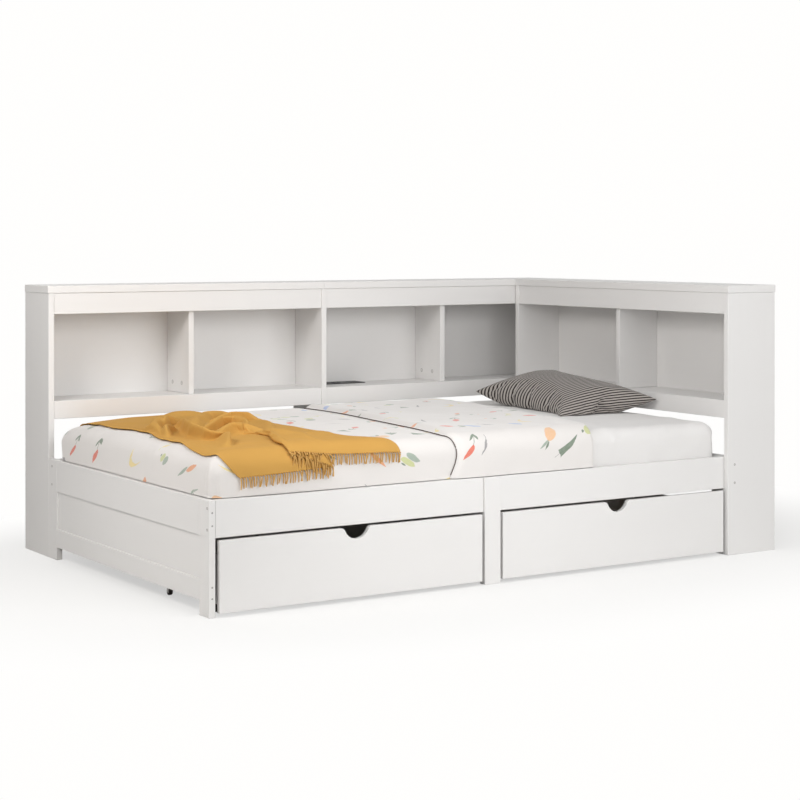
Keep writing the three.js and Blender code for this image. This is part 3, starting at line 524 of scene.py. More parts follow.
def on_face(node, axis, side, first, second):
    """A point on a node's low or high face along an axis, with the two other coordinates given."""
    low, high = box_of(node)
    others = [k for k in range(3) if k != axis]
    point = np.zeros(3)
    point[axis] = (low, high)[side][axis]
    point[others] = first, second
    return point


BOLT_HEIGHTS = (0.262, 0.326)
FOOT_BOLTS = [
    on_face(post, 0, 0, y, z)
    for post, y in (("foot_post_front", -0.7255), ("foot_post_back", 0.5015))
    for z in BOLT_HEIGHTS
]
END_PANEL_BOLTS = [on_face("head_front_end_panel", 1, 0, 0.9385, z) for z in (0.257, 0.322)]
POST_PLUGS = [on_face("foot_post_front", 1, 0, -1.1225, z) for z in (0.057, 0.091, 0.274, 0.313)]
COVER_PLACES = [
    on_face(f"back_divider_{side}", 0, 0, y, 0.589)
    for side in ("left", "right")
    for y in (0.6155, 0.6945)
]


def fitting(name, part, places, axis, segments, material):
    radius, profile = part
    profile = np.array(profile) * (radius, 0.001)
    solid(name, [turned(profile, place, axis, segments) for place in places], material)


fitting("foot_end_bolts", BARREL_BOLT, FOOT_BOLTS, (-1, 0, 0), 20, BOLT_METAL)
fitting("end_panel_bolts", BARREL_BOLT, END_PANEL_BOLTS, (0, -1, 0), 20, BOLT_METAL)
fitting("post_screw_plugs", SCREW_PLUG, POST_PLUGS, (0, -1, 0), 16, PLUG_GREY)
fitting("divider_cam_covers", CAM_COVER, COVER_PLACES, (-1, 0, 0), 24, PLUG_GREY)

# Power strip.

low, high = box_of("power_strip")
middle, top = (low[1] + high[1]) / 2, high[2]
outlet_x = low[0] + (high[0] - low[0]) * np.array([0.2, 0.5])
port_low = np.array([low[0] + 0.78 * (high[0] - low[0]) - 0.0075, middle - 0.018, top - 0.001])
port_size = np.array([0.015, 0.008, 0.0017])
ring = [
    (0, -0.001), (0.021, -0.001), (0.021, 0.0005), (0.0195, 0.0012), (0.0185, 0.0004), (0, 0.0004),
]
pin = [(0, -0.0005), (0.0024, -0.0005), (0.0024, 0.0006), (0.0019, 0.0008), (0, 0.0005)]
shells = [rounded_box(low, high, 0.0011)]
shells += [turned(ring, (x, middle, top), (0, 0, 1), 40) for x in outlet_x]
pin_places = [(x + way * 0.0095, middle, top + 0.0004) for x in outlet_x for way in (-1, 1)]
shells += [turned(pin, place, (0, 0, 1), 14) for place in pin_places]
port_lows = [port_low + (0, step, 0) for step in (0, 0.028)]
shells += [rounded_box(corner, corner + port_size, 0.0007) for corner in port_lows]
solid("power_strip_moulded", shells, BLACK_PLASTIC, slot="black_plastic", replaced="power_strip")

# Cloth over the mattress.

MATTRESS_LOW, MATTRESS_HIGH = box_of("mattress")
CROWN = 0.008
EDGE_ROUND = 0.045
CORNER_ROUND = 0.050
TOP = MATTRESS_HIGH[2] - CROWN
FLAT_LOW = MATTRESS_LOW[:2] + CORNER_ROUND
FLAT_HIGH = MATTRESS_HIGH[:2] - CORNER_ROUND
LIP_START = CORNER_ROUND - EDGE_ROUND
LIP_END = LIP_START + EDGE_ROUND * math.pi / 2
SAG_PLACE = np.array([MATTRESS_LOW[0], MATTRESS_HIGH[1]])
SAG_BELLS = ((0.019, 0.19), (0.007, 0.07))
SAG_FADES = 0.11


def bell(distance, reach):
    """exp(-(distance / reach)^2)"""
    return np.exp(-((distance / reach) ** 2))


def way_down_to(z):
    """How far past the flat rectangle cloth runs to reach a height on the mattress's side."""
    return LIP_END + TOP - EDGE_ROUND - z


def over_mattress(along, across, lift):
    """Points of cloth laid over the mattress. Past the flat rectangle it runs straight out, round a
    quarter circle and down the side; in plan the way out turns evenly from an end to a side, so a
    square of cloth becomes a quarter disc. Lift is square to the mattress's surface. The corner at
    the foot and the wall sags by two bells, each a depth and a reach, that fade down the side."""
    place = np.stack(np.broadcast_arrays(along, across), -1)
    past = np.maximum(np.maximum(FLAT_LOW - place, place - FLAT_HIGH), 0)
    way = past.max(-1)
    lip = np.clip((way - LIP_START) / EDGE_ROUND, 0, math.pi / 2)
    out = np.minimum(way, LIP_START) + (EDGE_ROUND + lift) * np.sin(lip)
    drop = EDGE_ROUND * (1 - np.cos(lip)) + np.maximum(way - LIP_END, 0)
    share = past.min(-1) / np.where(way > 0, way, 1) * math.pi / 4
    turn = np.where(past[..., 0] >= past[..., 1], share, math.pi / 2 - share)
    ahead = np.where(place < FLAT_LOW, -1, 1) * np.stack([np.cos(turn), np.sin(turn)], -1)
    level = np.clip(place, FLAT_LOW, FLAT_HIGH) + out[..., None] * ahead
    size = (MATTRESS_HIGH - MATTRESS_LOW)[:2]
    off_middle = np.clip(2 * (place - MATTRESS_LOW[:2]) / size - 1, -1, 1)
    near = np.hypot(np.maximum(along - SAG_PLACE[0], 0), np.maximum(SAG_PLACE[1] - across, 0))
    sag = sum(depth * bell(near, reach) for depth, reach in SAG_BELLS)
    z = TOP + CROWN * np.prod(1 - off_middle**2, -1) - drop + lift * np.cos(lip)
    z = z - sag * np.clip(1 - drop / SAG_FADES, 0, 1)
    return np.concatenate([level, z[..., None]], -1)


def cloud(x, y, size, seed):
    """Soft noise from -1 to 1: a seeded lattice of numbers, blended with smooth steps."""
    lattice = np.random.default_rng(seed).uniform(-1, 1, (64, 64))
    x, y = np.broadcast_arrays(x / size, y / size)
    i, j = np.floor(x).astype(int), np.floor(y).astype(int)
    s, t = x - i, y - j
    s, t = s * s * s * (s * (6 * s - 15) + 10), t * t * t * (t * (6 * t - 15) + 10)
    corner = [lattice[(i + a) % 64, (j + b) % 64] for a in (0, 1) for b in (0, 1)]
    near, far = (corner[k] * (1 - t) + corner[k + 1] * t for k in (0, 2))
    return near * (1 - s) + far * s


def ridged(x, y, size, seed, sharp=3.0):
    """Creases from 0 to 1, exp(-2 sharp |noise|): high where the soft noise passes through 0."""
    return np.exp(-sharp * np.abs(cloud(x, y, size, seed)) * 2)


def smooth(low, high, value):
    """0 below low, 1 above high, and the smooth step 3 t^2 - 2 t^3 between."""
    t = np.clip((value - low) / (high - low), 0, 1)
    return t * t * (3 - 2 * t)


def cloth_weave(name, colour, threads=900.0, rough=0.85, depth=0.0002, sheen=0.2):
    """Woven cloth, read along its own map: two sets of threads as waves, and slubs as noise.
    Returns the finish, the map, and the map's two coordinates, in metres along the cloth."""
    finish = Finish(name, Sheen_Weight=sheen, Sheen_Roughness=0.5, Specular_IOR_Level=0.2)
    cloth = finish.node("ShaderNodeUVMap", {"uv_map": "cloth"})
    across, along, _ = finish.split(cloth)
    warp = (across * threads * 2 * math.pi).math("SINE")
    weft = (along * threads * 2 * math.pi).math("SINE")
    slub = finish.noise(cloth, 240.0, 3.0)
    height = (warp * weft * 0.25 + 0.5) * 0.6 + slub * 0.4
    tone = finish.noise(cloth, 3.5, 3.0)
    light = tuple(min(1.0, c * 1.03) for c in colour)
    shade = tuple(c * 0.95 for c in colour)
    finish.colour(finish.blend(0.6 * tone + 0.4 * slub, (*shade, 1), (*light, 1)))
    finish.dull(rough - 0.05 + 0.1 * slub).bump(height, 0.35, depth)
    return finish, cloth, across, along


def padded_body(name, upper, lower, cloth, material, slot, replaced):
    """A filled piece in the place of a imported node: the closed body between two grids, which is the
    upper one, the lower one turned over, and a wall from rim to rim. Both share the grid's places
    on the cloth, in metres."""
    rows, columns = upper.shape[:2]
    count = rows * columns
    quads = grid_quads(rows, columns)
    i, j = np.arange(rows), np.arange(columns)
    rim = np.concatenate([
        i[:-1] * columns, (rows - 1) * columns + j[:-1],
        i[:0:-1] * columns + columns - 1, j[:0:-1],
    ])
    following = np.roll(rim, -1)
    wall = np.stack([rim, following, following + count, rim + count], -1)
    points = np.concatenate([upper.reshape(-1, 3), lower.reshape(-1, 3)])
    faces = outward(points, np.concatenate([quads, quads[:, ::-1] + count, wall[:, ::-1]]))
    uv = np.tile(np.stack(cloth, -1).reshape(-1, 2), (2, 1))
    piece = new_piece(name, points, faces, material, uv=uv, slot=slot)
    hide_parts(replaced)


def lengths_along(grid, axis):
    """Length walked over a grid of points along one of its axes, from 0."""
    step = np.linalg.norm(np.diff(grid, axis=axis), axis=-1)
    return np.concatenate([np.zeros_like(np.take(step, [0], axis)), np.cumsum(step, axis)], axis)


def tube_shell(path, radius, sides=8):
    """A tube: a circle carried along a path, square to the path's direction at each point, and
    shrinking to nothing on its two ends so that they close. The radius may change from point to
    point."""
    path = np.asarray(path, float)
    ahead = np.gradient(path, axis=0)
    ahead /= np.linalg.norm(ahead, axis=1)[:, None]
    guide = np.where(np.abs(ahead[:, 2:3]) < 0.9, [[0, 0, 1.0]], [[0, 1.0, 0]])
    one = np.cross(ahead, guide)
    one /= np.linalg.norm(one, axis=1)[:, None]
    two = np.cross(ahead, one)
    angle = np.linspace(0, 2 * math.pi, sides, endpoint=False)[None, :, None]
    around = np.cos(angle) * one[:, None] + np.sin(angle) * two[:, None]
    radius = np.broadcast_to(radius, len(path))[:, None, None]
    rings = path[:, None] + radius * around
    ends = np.stack([np.broadcast_to(path[k], (sides, 3)) for k in (0, -1)])
    rings = np.concatenate([ends[:1], rings, ends[1:]])
    turned_out = np.concatenate([-np.broadcast_to(ahead[0], (1, sides, 3)), around,
                                 np.broadcast_to(ahead[-1], (1, sides, 3))])
    triangles = as_triangles(grid_quads(len(rings), sides, wrap=True))
    return shell(rings.reshape(-1, 3), triangles, turned_out.reshape(-1, 3))


# Mattress in its white sheet.

SHEET_STARTS = 0.30
SHEET_LIFT = 0.0008


def sheet_wrinkles(along, across):
    """Height of the sheet: broad puffs, creases that run across the bed, and short ones along its
    front edge; nearly flat where the duvet lies on it."""
    bare = smooth(SHEET_STARTS, SHEET_STARTS + 0.12, along)
    puffs = 0.5 + 0.5 * cloud(along, across, 0.16, 3)
    long_creases = ridged(along + 0.25 * across, 0.5 * across, 0.11, 5, 2.4)
    edge = bell(across - MATTRESS_LOW[1], 0.06)
    short_creases = ridged(along - 0.5 * across, across * 0.3, 0.045, 8, 2.0) * edge
    return SHEET_LIFT + bare * (0.0035 * puffs + 0.0035 * long_creases + 0.004 * short_creases)


def line_over(axis, side, steps):
    """Coordinates over the bed along an axis: up one side, over the top, down the other."""
    flat = np.linspace(FLAT_LOW[axis], FLAT_HIGH[axis], steps)[1:-1]
    return np.concatenate([FLAT_LOW[axis] - side, flat, FLAT_HIGH[axis] + side[::-1]])


def square(rows, columns):
    """Two coordinates from -1 to 1 over a grid."""
    return np.meshgrid(np.linspace(-1, 1, rows), np.linspace(-1, 1, columns), indexing="ij")


def make_mattress():
    """The mattress's skin, with the sheet's wrinkles, and a flat underside from its lowest rim."""
    side = np.linspace(way_down_to(MATTRESS_LOW[2]), 0, 24)
    alongs, acrosses = line_over(0, side, 170), line_over(1, side, 110)
    along, across = np.meshgrid(alongs, acrosses, indexing="ij")
    top = over_mattress(along, across, sheet_wrinkles(along, across))
    u, v = square(*along.shape)
    reach = np.maximum(np.maximum(np.abs(u), np.abs(v)), 1e-6)
    rim_along = alongs[0] + (u / reach + 1) / 2 * (alongs[-1] - alongs[0])
    rim_across = acrosses[0] + (v / reach + 1) / 2 * (acrosses[-1] - acrosses[0])
    middle = (MATTRESS_LOW + MATTRESS_HIGH) / 2
    under = middle + (over_mattress(rim_along, rim_across, 0) - middle) * reach[..., None]
    under[..., 2] = MATTRESS_LOW[2]
    padded_body(
        "mattress_in_sheet", top, under, (along, across), SHEET_CLOTH, "sheet", "mattress"
    )


SHEET_CLOTH = cloth_weave("white_sheet", (0.80, 0.79, 0.78), 1100.0, 0.8)[0].material
make_mattress()

# Duvet.

DUVET_CLEARANCE = 0.0014
DUVET_HALF = 0.0052
LAYER_GAP = 0.0008
FOLD_FRONT, FOLD_BACK = 0.3215, 0.4515
HEM_FRONT, HEM_BACK = -0.2535, -0.1335
DUVET_LOW_Z = 0.3525
DUVET_TOP = DUVET_CLEARANCE + 2 * DUVET_HALF
FOLD_RADIUS = DUVET_HALF + LAYER_GAP / 2
SIDE_STEPS, WIDTH_STEPS, LOWER_STEPS, UPPER_STEPS, BEND_STEPS = 26, 84, 110, 66, 11
PIPING_RADIUS = 0.0014


def depth_of(across):
    """0 at the front side of the mattress and 1 at the wall side."""
    return np.clip((across - MATTRESS_LOW[1]) / (MATTRESS_HIGH[1] - MATTRESS_LOW[1]), 0, 1)


def hem_along(across):
    """The hem's place along the bed: a slanted line that bows towards the head where it turns down
    over the front edge."""
    down = np.clip((FLAT_LOW[1] - across) / 0.14, 0, 1)
    bow = 0.022 * np.sin(math.pi * down) - 0.004 * down
    wave = 0.004 * np.sin(across * 9.0)
    return HEM_FRONT + (HEM_BACK - HEM_FRONT) * depth_of(across) + bow + wave


def fold_along(across):
    wave = 0.004 * np.sin(across * 7.0 + 1.0)
    return FOLD_FRONT + (FOLD_BACK - FOLD_FRONT) * depth_of(across) + wave


def duvet_puffs(along, across):
    """Height of the duvet's filling: broad soft swells, with folds down the foot end and the front
    side that start at the corners."""
    swells = 0.0026 * (1 + cloud(along, across, 0.13, 11))
    swells += 0.0014 * (1 + cloud(along, across, 0.06, 12))
    foot, front = bell(along - MATTRESS_LOW[0], 0.07), bell(across - MATTRESS_LOW[1], 0.06)
    down_foot = ridged(across, along * 0.25, 0.07, 14, 2.2) * foot
    down_front = ridged(along, across * 0.25, 0.09, 15, 2.2) * front
    past_x, past_y = np.maximum(FLAT_LOW[0] - along, 0), np.maximum(FLAT_LOW[1] - across, 0)
    turn = np.arctan2(past_y, past_x + 1e-6)
    corner = smooth(0.03, 0.08, np.minimum(past_x, past_y) + 0.3 * np.maximum(past_x, past_y))
    pleat = 0.008 * bell(turn - 0.62, 0.13) - 0.002 * bell(turn - 0.88, 0.06)
    return swells + 0.0035 * down_foot + 0.003 * down_front + np.maximum(pleat * corner, -0.001)


def make_duvet():
    """Rows run from the foot's tucked edge over the mattress to the fold, round a half circle
    there, and back over the lower layer to the hem, where the filling thins out."""
    side = np.linspace(way_down_to(DUVET_LOW_Z), 0, SIDE_STEPS)
    across = line_over(1, side, WIDTH_STEPS)[None, :]
    fold, hem = fold_along(across), hem_along(across)
    base = fold - FOLD_RADIUS - DUVET_HALF
    under = np.linspace(0, 1, LOWER_STEPS)[:, None]
    over = np.linspace(0, 1, UPPER_STEPS)[:, None]
    quarter = math.pi / 2
    bend = np.linspace(-quarter, quarter, BEND_STEPS)[1:-1, None]
    foot_rows = FLAT_LOW[0] - side[:-1, None] + 0 * across
    under_rows = FLAT_LOW[0] + (base - FLAT_LOW[0]) * under
    along = np.concatenate([foot_rows, under_rows, base + 0 * bend, base + (hem - base) * over])
    lower_count = len(foot_rows) + len(under_rows)
    turn = np.concatenate([
        np.full((lower_count, 1), -quarter), bend, np.full((len(over), 1), quarter),
    ])
    progress = np.concatenate([np.zeros((len(along) - len(over), 1)), over])
    half = DUVET_HALF * (1 - 0.8 * smooth(0.955, 1.0, progress))
    high_mid = DUVET_TOP + LAYER_GAP + half
    round_mid = DUVET_CLEARANCE + DUVET_HALF + FOLD_RADIUS * (1 + np.sin(turn))
    is_over = turn >= quarter
    mid = np.where(is_over, high_mid, round_mid) + 0 * along
    puffs = duvet_puffs(along, across)
    open_side = 1 - smooth(-0.035, 0.0, along - (hem - 0.005))
    raised = np.where(turn <= -quarter, puffs * open_side, 0)
    raised = np.where(is_over, puffs * (1 - smooth(0.94, 1.0, progress)), raised)
    surfaces = []
    for way in (-1, 1):
        away = (FOLD_RADIUS + way * half) * np.cos(turn)
        lift = mid + way * half * np.where(is_over, 1, np.sin(turn))
        lift = lift + np.where((way > 0) == is_over, raised, 0)
        surfaces.append(over_mattress(along + away, across, lift))
    inner, outer = surfaces
    cloth = lengths_along(inner, 0), lengths_along(inner, 1)
    padded_body("duvet_cover", outer, inner, cloth, DUVET_CLOTH, "duvet_print", "duvet")
    cord_across = across[0, 2:-2]
    cord_along = hem_along(cord_across)
    lift = DUVET_TOP + LAYER_GAP + 0.0022
    cord = tube_shell(over_mattress(cord_along - 0.0012, cord_across, lift), PIPING_RADIUS)
    solid("duvet_hem_piping", cord, PIPING_CLOTH, slot="duvet_print")


PIPING_CLOTH = moulded("dark_piping", (0.085, 0.06, 0.05), 0.8)
# The print's cell in metres, a motif's unit in millimetres, and its shift in the cell in units.
PRINT_CELL, MOTIF_UNIT, MOTIF_OFFSET = 0.170, 1.65, 28
PRINT_LAYERS, PRINTED_SHARE = (0.0, 17.53), 0.80
RED, ORANGE, YELLOW = (0.74, 0.115, 0.05), (0.80, 0.34, 0.14), (0.84, 0.68, 0.25)
PEACH = (0.84, 0.50, 0.26)
GREEN, SAGE, LIME = (0.13, 0.20, 0.13), (0.30, 0.38, 0.31), (0.58, 0.62, 0.27)
BLUE, SLATE = (0.33, 0.45, 0.76), (0.30, 0.29, 0.30)


def motif_shapes(x, y):
    """The motifs, each a list of shapes and their colours, in MOTIF_UNIT. A leaf is where its half
    width, width (1 - (x / length)^2), exceeds the distance from its midline."""
    def filled(inside):
        return (inside * 0.9 + 0.5).clipped()

    def leaf(centre, length, width, turn=0.0, skew=0.0):
        p, q = x - centre[0], y - centre[1]
        a = p * math.cos(turn) + q * math.sin(turn)
        b = q * math.cos(turn) - p * math.sin(turn)
        reach = a / length
        half = (1 - reach * reach) * width * (1 - reach * skew)
        return filled(half - abs(b)) * ((length - abs(a)) * 2).clipped()

    def disc(centre, radius):
        a, b = x - centre[0], y - centre[1]
        return filled(radius - (a * a + b * b).math("SQRT"))

    def stem(start, end):
        line = ((0.75 - abs(y)) * 1.4 + 0.5).clipped()
        return line * ((end - x) * 2).clipped() * ((x - start) * 2).clipped()

    tree = filled((20 - x) * 0.36 - abs(y)) * ((x + 20) * 2).clipped()
    crescent = (disc((0, 0), 27) - disc((0, 12), 30)).clipped()
    return [
        [(stem(-30, 4), GREEN), (leaf((-20, 6), 12, 3.6, 0.6), GREEN),
         (leaf((-21, -6), 11, 3.4, -0.6), GREEN), (leaf((14, 0), 16, 8.5, 0, 0.3), RED)],
        [(leaf((-15, 2), 15, 5.5, 0.4), SAGE), (leaf((13, 0), 18, 7), ORANGE)],
        [(stem(-30, 26), LIME), (leaf((2, 5), 10, 2.8, 0.7), LIME),
         (leaf((-12, -5), 10, 2.8, -0.7), YELLOW)],
        [(leaf((0, 0), 24, 8.5, 0, 0.75), BLUE)],
        [(stem(-28, -14), SLATE), (tree, GREEN)],
        [(crescent, YELLOW)],
        [(disc((-9, 0), 11), LIME), (disc((14, 2), 11), SAGE), (disc((-25, 0), 3.2), GREEN)],
        [(stem(-12, 12), SAGE), (leaf((-6, 5), 11, 2.6, 0.8), SAGE),
         (leaf((-6, -5), 11, 2.6, -0.8), SAGE), (disc((16, 0), 4.2), ORANGE)],
        [(stem(-22, 22), SLATE), (leaf((6, 0), 17, 3.6, 0, 0.3), SLATE)],
        [(disc((-5, 0), 15), PEACH), (leaf((17, 5), 10, 3.6, 0.5), SAGE),
         (leaf((17, -4), 8, 3, -0.4), GREEN)],
    ]


def painted_motifs():
    """A pale cover with small painted motifs, in two layers. In each layer the cloth is divided
    into square cells; white noise gives a cell its motif or none, its size, turn and place."""
    ground = (0.79, 0.765, 0.745)
    finish, cloth, across, along = cloth_weave("duvet_print", ground, 1000.0, 0.82, sheen=0.5)
    wobble = (finish.noise(cloth, 70.0, 2.0) - 0.5) * 5.0
    wash = 0.70 + 0.28 * finish.noise(cloth, 120.0, 3.0)
    colour = Signal(finish, finish.shader.inputs["Base Color"].links[0].from_socket)

    def in_cell(place, shift, offset):
        place = (place / PRINT_CELL + shift).math("FRACT") - 0.5
        return place * (1000 * PRINT_CELL / MOTIF_UNIT) - (offset - 0.5) * MOTIF_OFFSET

    for shift in PRINT_LAYERS:
        moved = finish.vector("SCALE", {0: cloth, "Scale": 1 / PRINT_CELL})
        moved = finish.vector("ADD", {0: moved, 1: (shift, 0.9 * shift, 0)})
        cell = finish.vector("FLOOR", {0: moved})
        random = {"noise_dimensions": "2D"}
        kind = finish.node("ShaderNodeTexWhiteNoise", random, {"Vector": cell}, "Value")
        tint = Signal(finish, kind.socket.node.outputs["Color"])
        red, green, blue = finish.split(tint, "ShaderNodeSeparateColor")
        u = in_cell(across, shift, red) + wobble
        v = in_cell(along, 0.9 * shift, green) - wobble
        turn = blue * 2 * math.pi
        cosine, sine = turn.math("COSINE"), turn.math("SINE")
        grown = 0.74 + 0.36 * (kind * 37).math("FRACT")
        motifs = motif_shapes((u * cosine + v * sine) / grown, (v * cosine - u * sine) / grown)
        share = PRINTED_SHARE / len(motifs)
        for number, shapes in enumerate(motifs):
            chosen = kind.math("GREATER_THAN", number * share)
            chosen = chosen * kind.math("LESS_THAN", (number + 1) * share)
            for inside, paint in shapes:
                colour = finish.blend(inside * chosen * wash, colour, (*paint, 1))
    finish.colour(colour)
    return finish.material


DUVET_CLOTH = painted_motifs()
make_duvet()

# Cloth settling.

CLOTH_SPACING = 0.0025


def vertex_places(mesh):
    places = np.empty(len(mesh.vertices) * 3, np.float32)
    mesh.vertices.foreach_get("co", places)
    return places.reshape(-1, 3).astype(float)


def settle(piece, frames, held, gravity, pressure=None, stiffness=15.0, bending=0.4, mass=0.3):
    """Runs Blender's cloth on a piece from its present shape, and returns where its points end.
    Those marked as held stay where they are."""
    group = piece.vertex_groups.new(name="held")
    group.add(np.flatnonzero(held).tolist(), 1.0, "REPLACE")
    modifier = piece.modifiers.new("settle", "CLOTH")
    cloth = modifier.settings
    cloth.quality, cloth.mass, cloth.air_damping = 7, mass, 1.5
    cloth.tension_stiffness = cloth.compression_stiffness = stiffness
    cloth.shear_stiffness, cloth.bending_stiffness = 0.4 * stiffness, bending
    cloth.tension_damping = cloth.compression_damping = 8.0
    cloth.vertex_group_mass = "held"
    cloth.effector_weights.gravity = gravity
    if pressure is not None:
        cloth.use_pressure, cloth.uniform_pressure_force = True, pressure
    touch = modifier.collision_settings
    touch.use_collision = pressure is None
    touch.collision_quality, touch.distance_min, touch.friction = 3, CLOTH_SPACING, 12.0
    touch.use_self_collision = pressure is None
    touch.self_distance_min, touch.self_friction = CLOTH_SPACING, 8.0
    modifier.point_cache.frame_start, modifier.point_cache.frame_end = 1, frames
    for number in range(1, frames + 1):
        bpy.context.scene.frame_set(number)
    settled = piece.evaluated_get(bpy.context.evaluated_depsgraph_get())
    places = vertex_places(settled.to_mesh())
    settled.to_mesh_clear()
    piece.modifiers.remove(modifier)
    piece.vertex_groups.remove(group)
    bpy.context.scene.frame_set(1)
    return places


def move_to(piece, places):
    set_all(piece.data.vertices, "co", places)
    piece.data.update()


def smooth_out(piece):
    smoother = piece.modifiers.new("smoother", "SUBSURF")
    smoother.levels = smoother.render_levels = 1


# Throw with its fringe.

THROW_THICKNESS = 0.0032
SUPPORT_STEPS = (70, 90)
# Each edge is a list of shares of the bed's width, from its front, and one of places along the bed.
LEFT_EDGE = (
    [-0.034, 0.003, 0.035, 0.125, 0.23, 0.40, 0.48, 0.55, 0.65, 0.82, 1],
    [-1.028, -1.078, -1.088, -1.086, -1.071, -1.067, -1.052, -1.046, -1.058, -1.062, -1.038],
)
RIGHT_EDGE = (
    [-0.034, 0.01, 0.04, 0.134, 0.298, 0.455, 0.64, 0.8, 1],
    [-0.452, -0.456, -0.482, -0.530, -0.557, -0.575, -0.588, -0.575, -0.560],
)
# The pleat: the shares of the throw between which it doubles back, its edge, and where it ends.
PLEAT_CLOTH = (0.397, 0.554)
PLEAT_EDGE = ([0, 0.06, 0.22, 0.42], [0.349, 0.390, 0.500, 0.520])
PLEAT_FADES = (0.10, 0.40)
PLEAT_DEPTH = 0.23
# How far the throw turns over the mattress's edge at the wall, as a share of the edge's arc.
WALL_TURN = 0.66
FRINGE_PITCH = 0.0088
# The front hem: shares of the throw's width, and its places across the bed.
HEM_ACROSS = ([0, 0.394, 0.551, 0.75, 1], [-0.750, -0.736, -0.702, -0.712, -0.716])
# Each fold is a line of points on the bed, its height and width, and how far its top leans over.
FOLDS = [
    ([(-0.865, 0.02), (-0.895, -0.08), (-0.945, -0.20), (-0.975, -0.31), (-0.972, -0.40),
      (-0.93, -0.45)], 0.054, 0.0145, (-0.026, -0.036)),
    ([(-0.93, -0.36), (-0.86, -0.31), (-0.80, -0.30), (-0.76, -0.36)], 0.036, 0.018, (0, -0.028)),
    ([(-0.925, -0.40), (-0.965, -0.50), (-1.01, -0.60)], 0.036, 0.0145, (0.018, -0.008)),
    ([(-0.925, -0.25), (-0.86, -0.19), (-0.80, -0.13), (-0.755, -0.13), (-0.75, -0.21),
      (-0.78, -0.29)], 0.050, 0.0155, (-0.002, -0.038)),
    ([(-0.86, -0.06), (-0.80, 0.04), (-0.73, 0.12), (-0.65, 0.15), (-0.60, 0.12)],
     0.036, 0.032, (-0.010, -0.034)),
    ([(-0.74, 0.03), (-0.66, 0.07), (-0.61, 0.0), (-0.59, -0.08)], 0.036, 0.015, (-0.008, -0.030)),
    ([(-1.04, -0.19), (-1.0, -0.06), (-0.93, 0.05), (-0.87, 0.12), (-0.80, 0.15)],
     0.040, 0.026, (-0.016, -0.032)),
    ([(-0.95, -0.02), (-0.905, 0.05), (-0.86, 0.07)], 0.044, 0.013, (-0.010, -0.024)),
    ([(-1.05, -0.26), (-1.005, -0.165), (-0.945, -0.10)], 0.034, 0.013, (-0.012, -0.026)),
    ([(-0.81, 0.29), (-0.73, 0.33), (-0.63, 0.34)], 0.022, 0.030, (-0.010, -0.014)),
    ([(-0.70, -0.30), (-0.64, -0.17), (-0.61, -0.04)], 0.016, 0.022, (0.006, -0.010)),
    ([(-0.79, -0.62), (-0.67, -0.53), (-0.55, -0.47)], 0.009, 0.030, (0, -0.006)),
]


def edge_curve(points, depth):
    """An edge's place along the bed at shares of the bed's width, smoothly through the given
    points: cubic pieces whose slope at each point is that of its neighbours."""
    places, values = np.array(points[0], float), np.array(points[1], float)
    slope = np.gradient(values, places)
    k = np.clip(np.searchsorted(places, depth, side="right") - 1, 0, len(places) - 2)
    step = places[k + 1] - places[k]
    t = np.clip((depth - places[k]) / step, 0, 1)
    rise = (2 * t**3 - 3 * t**2 + 1) * values[k] + (3 * t**2 - 2 * t**3) * values[k + 1]
    return rise + step * ((t**3 - 2 * t**2 + t) * slope[k] + (t**3 - t**2) * slope[k + 1])


def fold_heights(x, y):
    """Height of the gathered folds, and how far each leans over. A fold's height is a bell of the
    distance from its line, and falls towards the line's two ends."""
    height, lean = np.zeros_like(x), np.zeros((*x.shape, 2))
    for line, tall, wide, towards in FOLDS:
        line = np.array(line)
        nearest = np.full(x.shape, 1e9)
        share = np.zeros_like(x)
        for k, (start, step) in enumerate(zip(line[:-1], np.diff(line, axis=0))):
            t = np.clip(((x - start[0]) * step[0] + (y - start[1]) * step[1]) / (step @ step), 0, 1)
            distance = np.hypot(x - start[0] - t * step[0], y - start[1] - t * step[1])
            share = np.where(distance < nearest, (k + t) / (len(line) - 1), share)
            nearest = np.minimum(nearest, distance)
        rise = bell(nearest, wide) * np.sin(math.pi * (0.06 + 0.88 * share)) ** 0.6
        taller = np.maximum(height, tall * rise)
        leaning = rise[..., None] * np.array(towards)
        lean = np.where((tall * rise > height)[..., None], leaning, lean)
        height = taller
    return height, lean


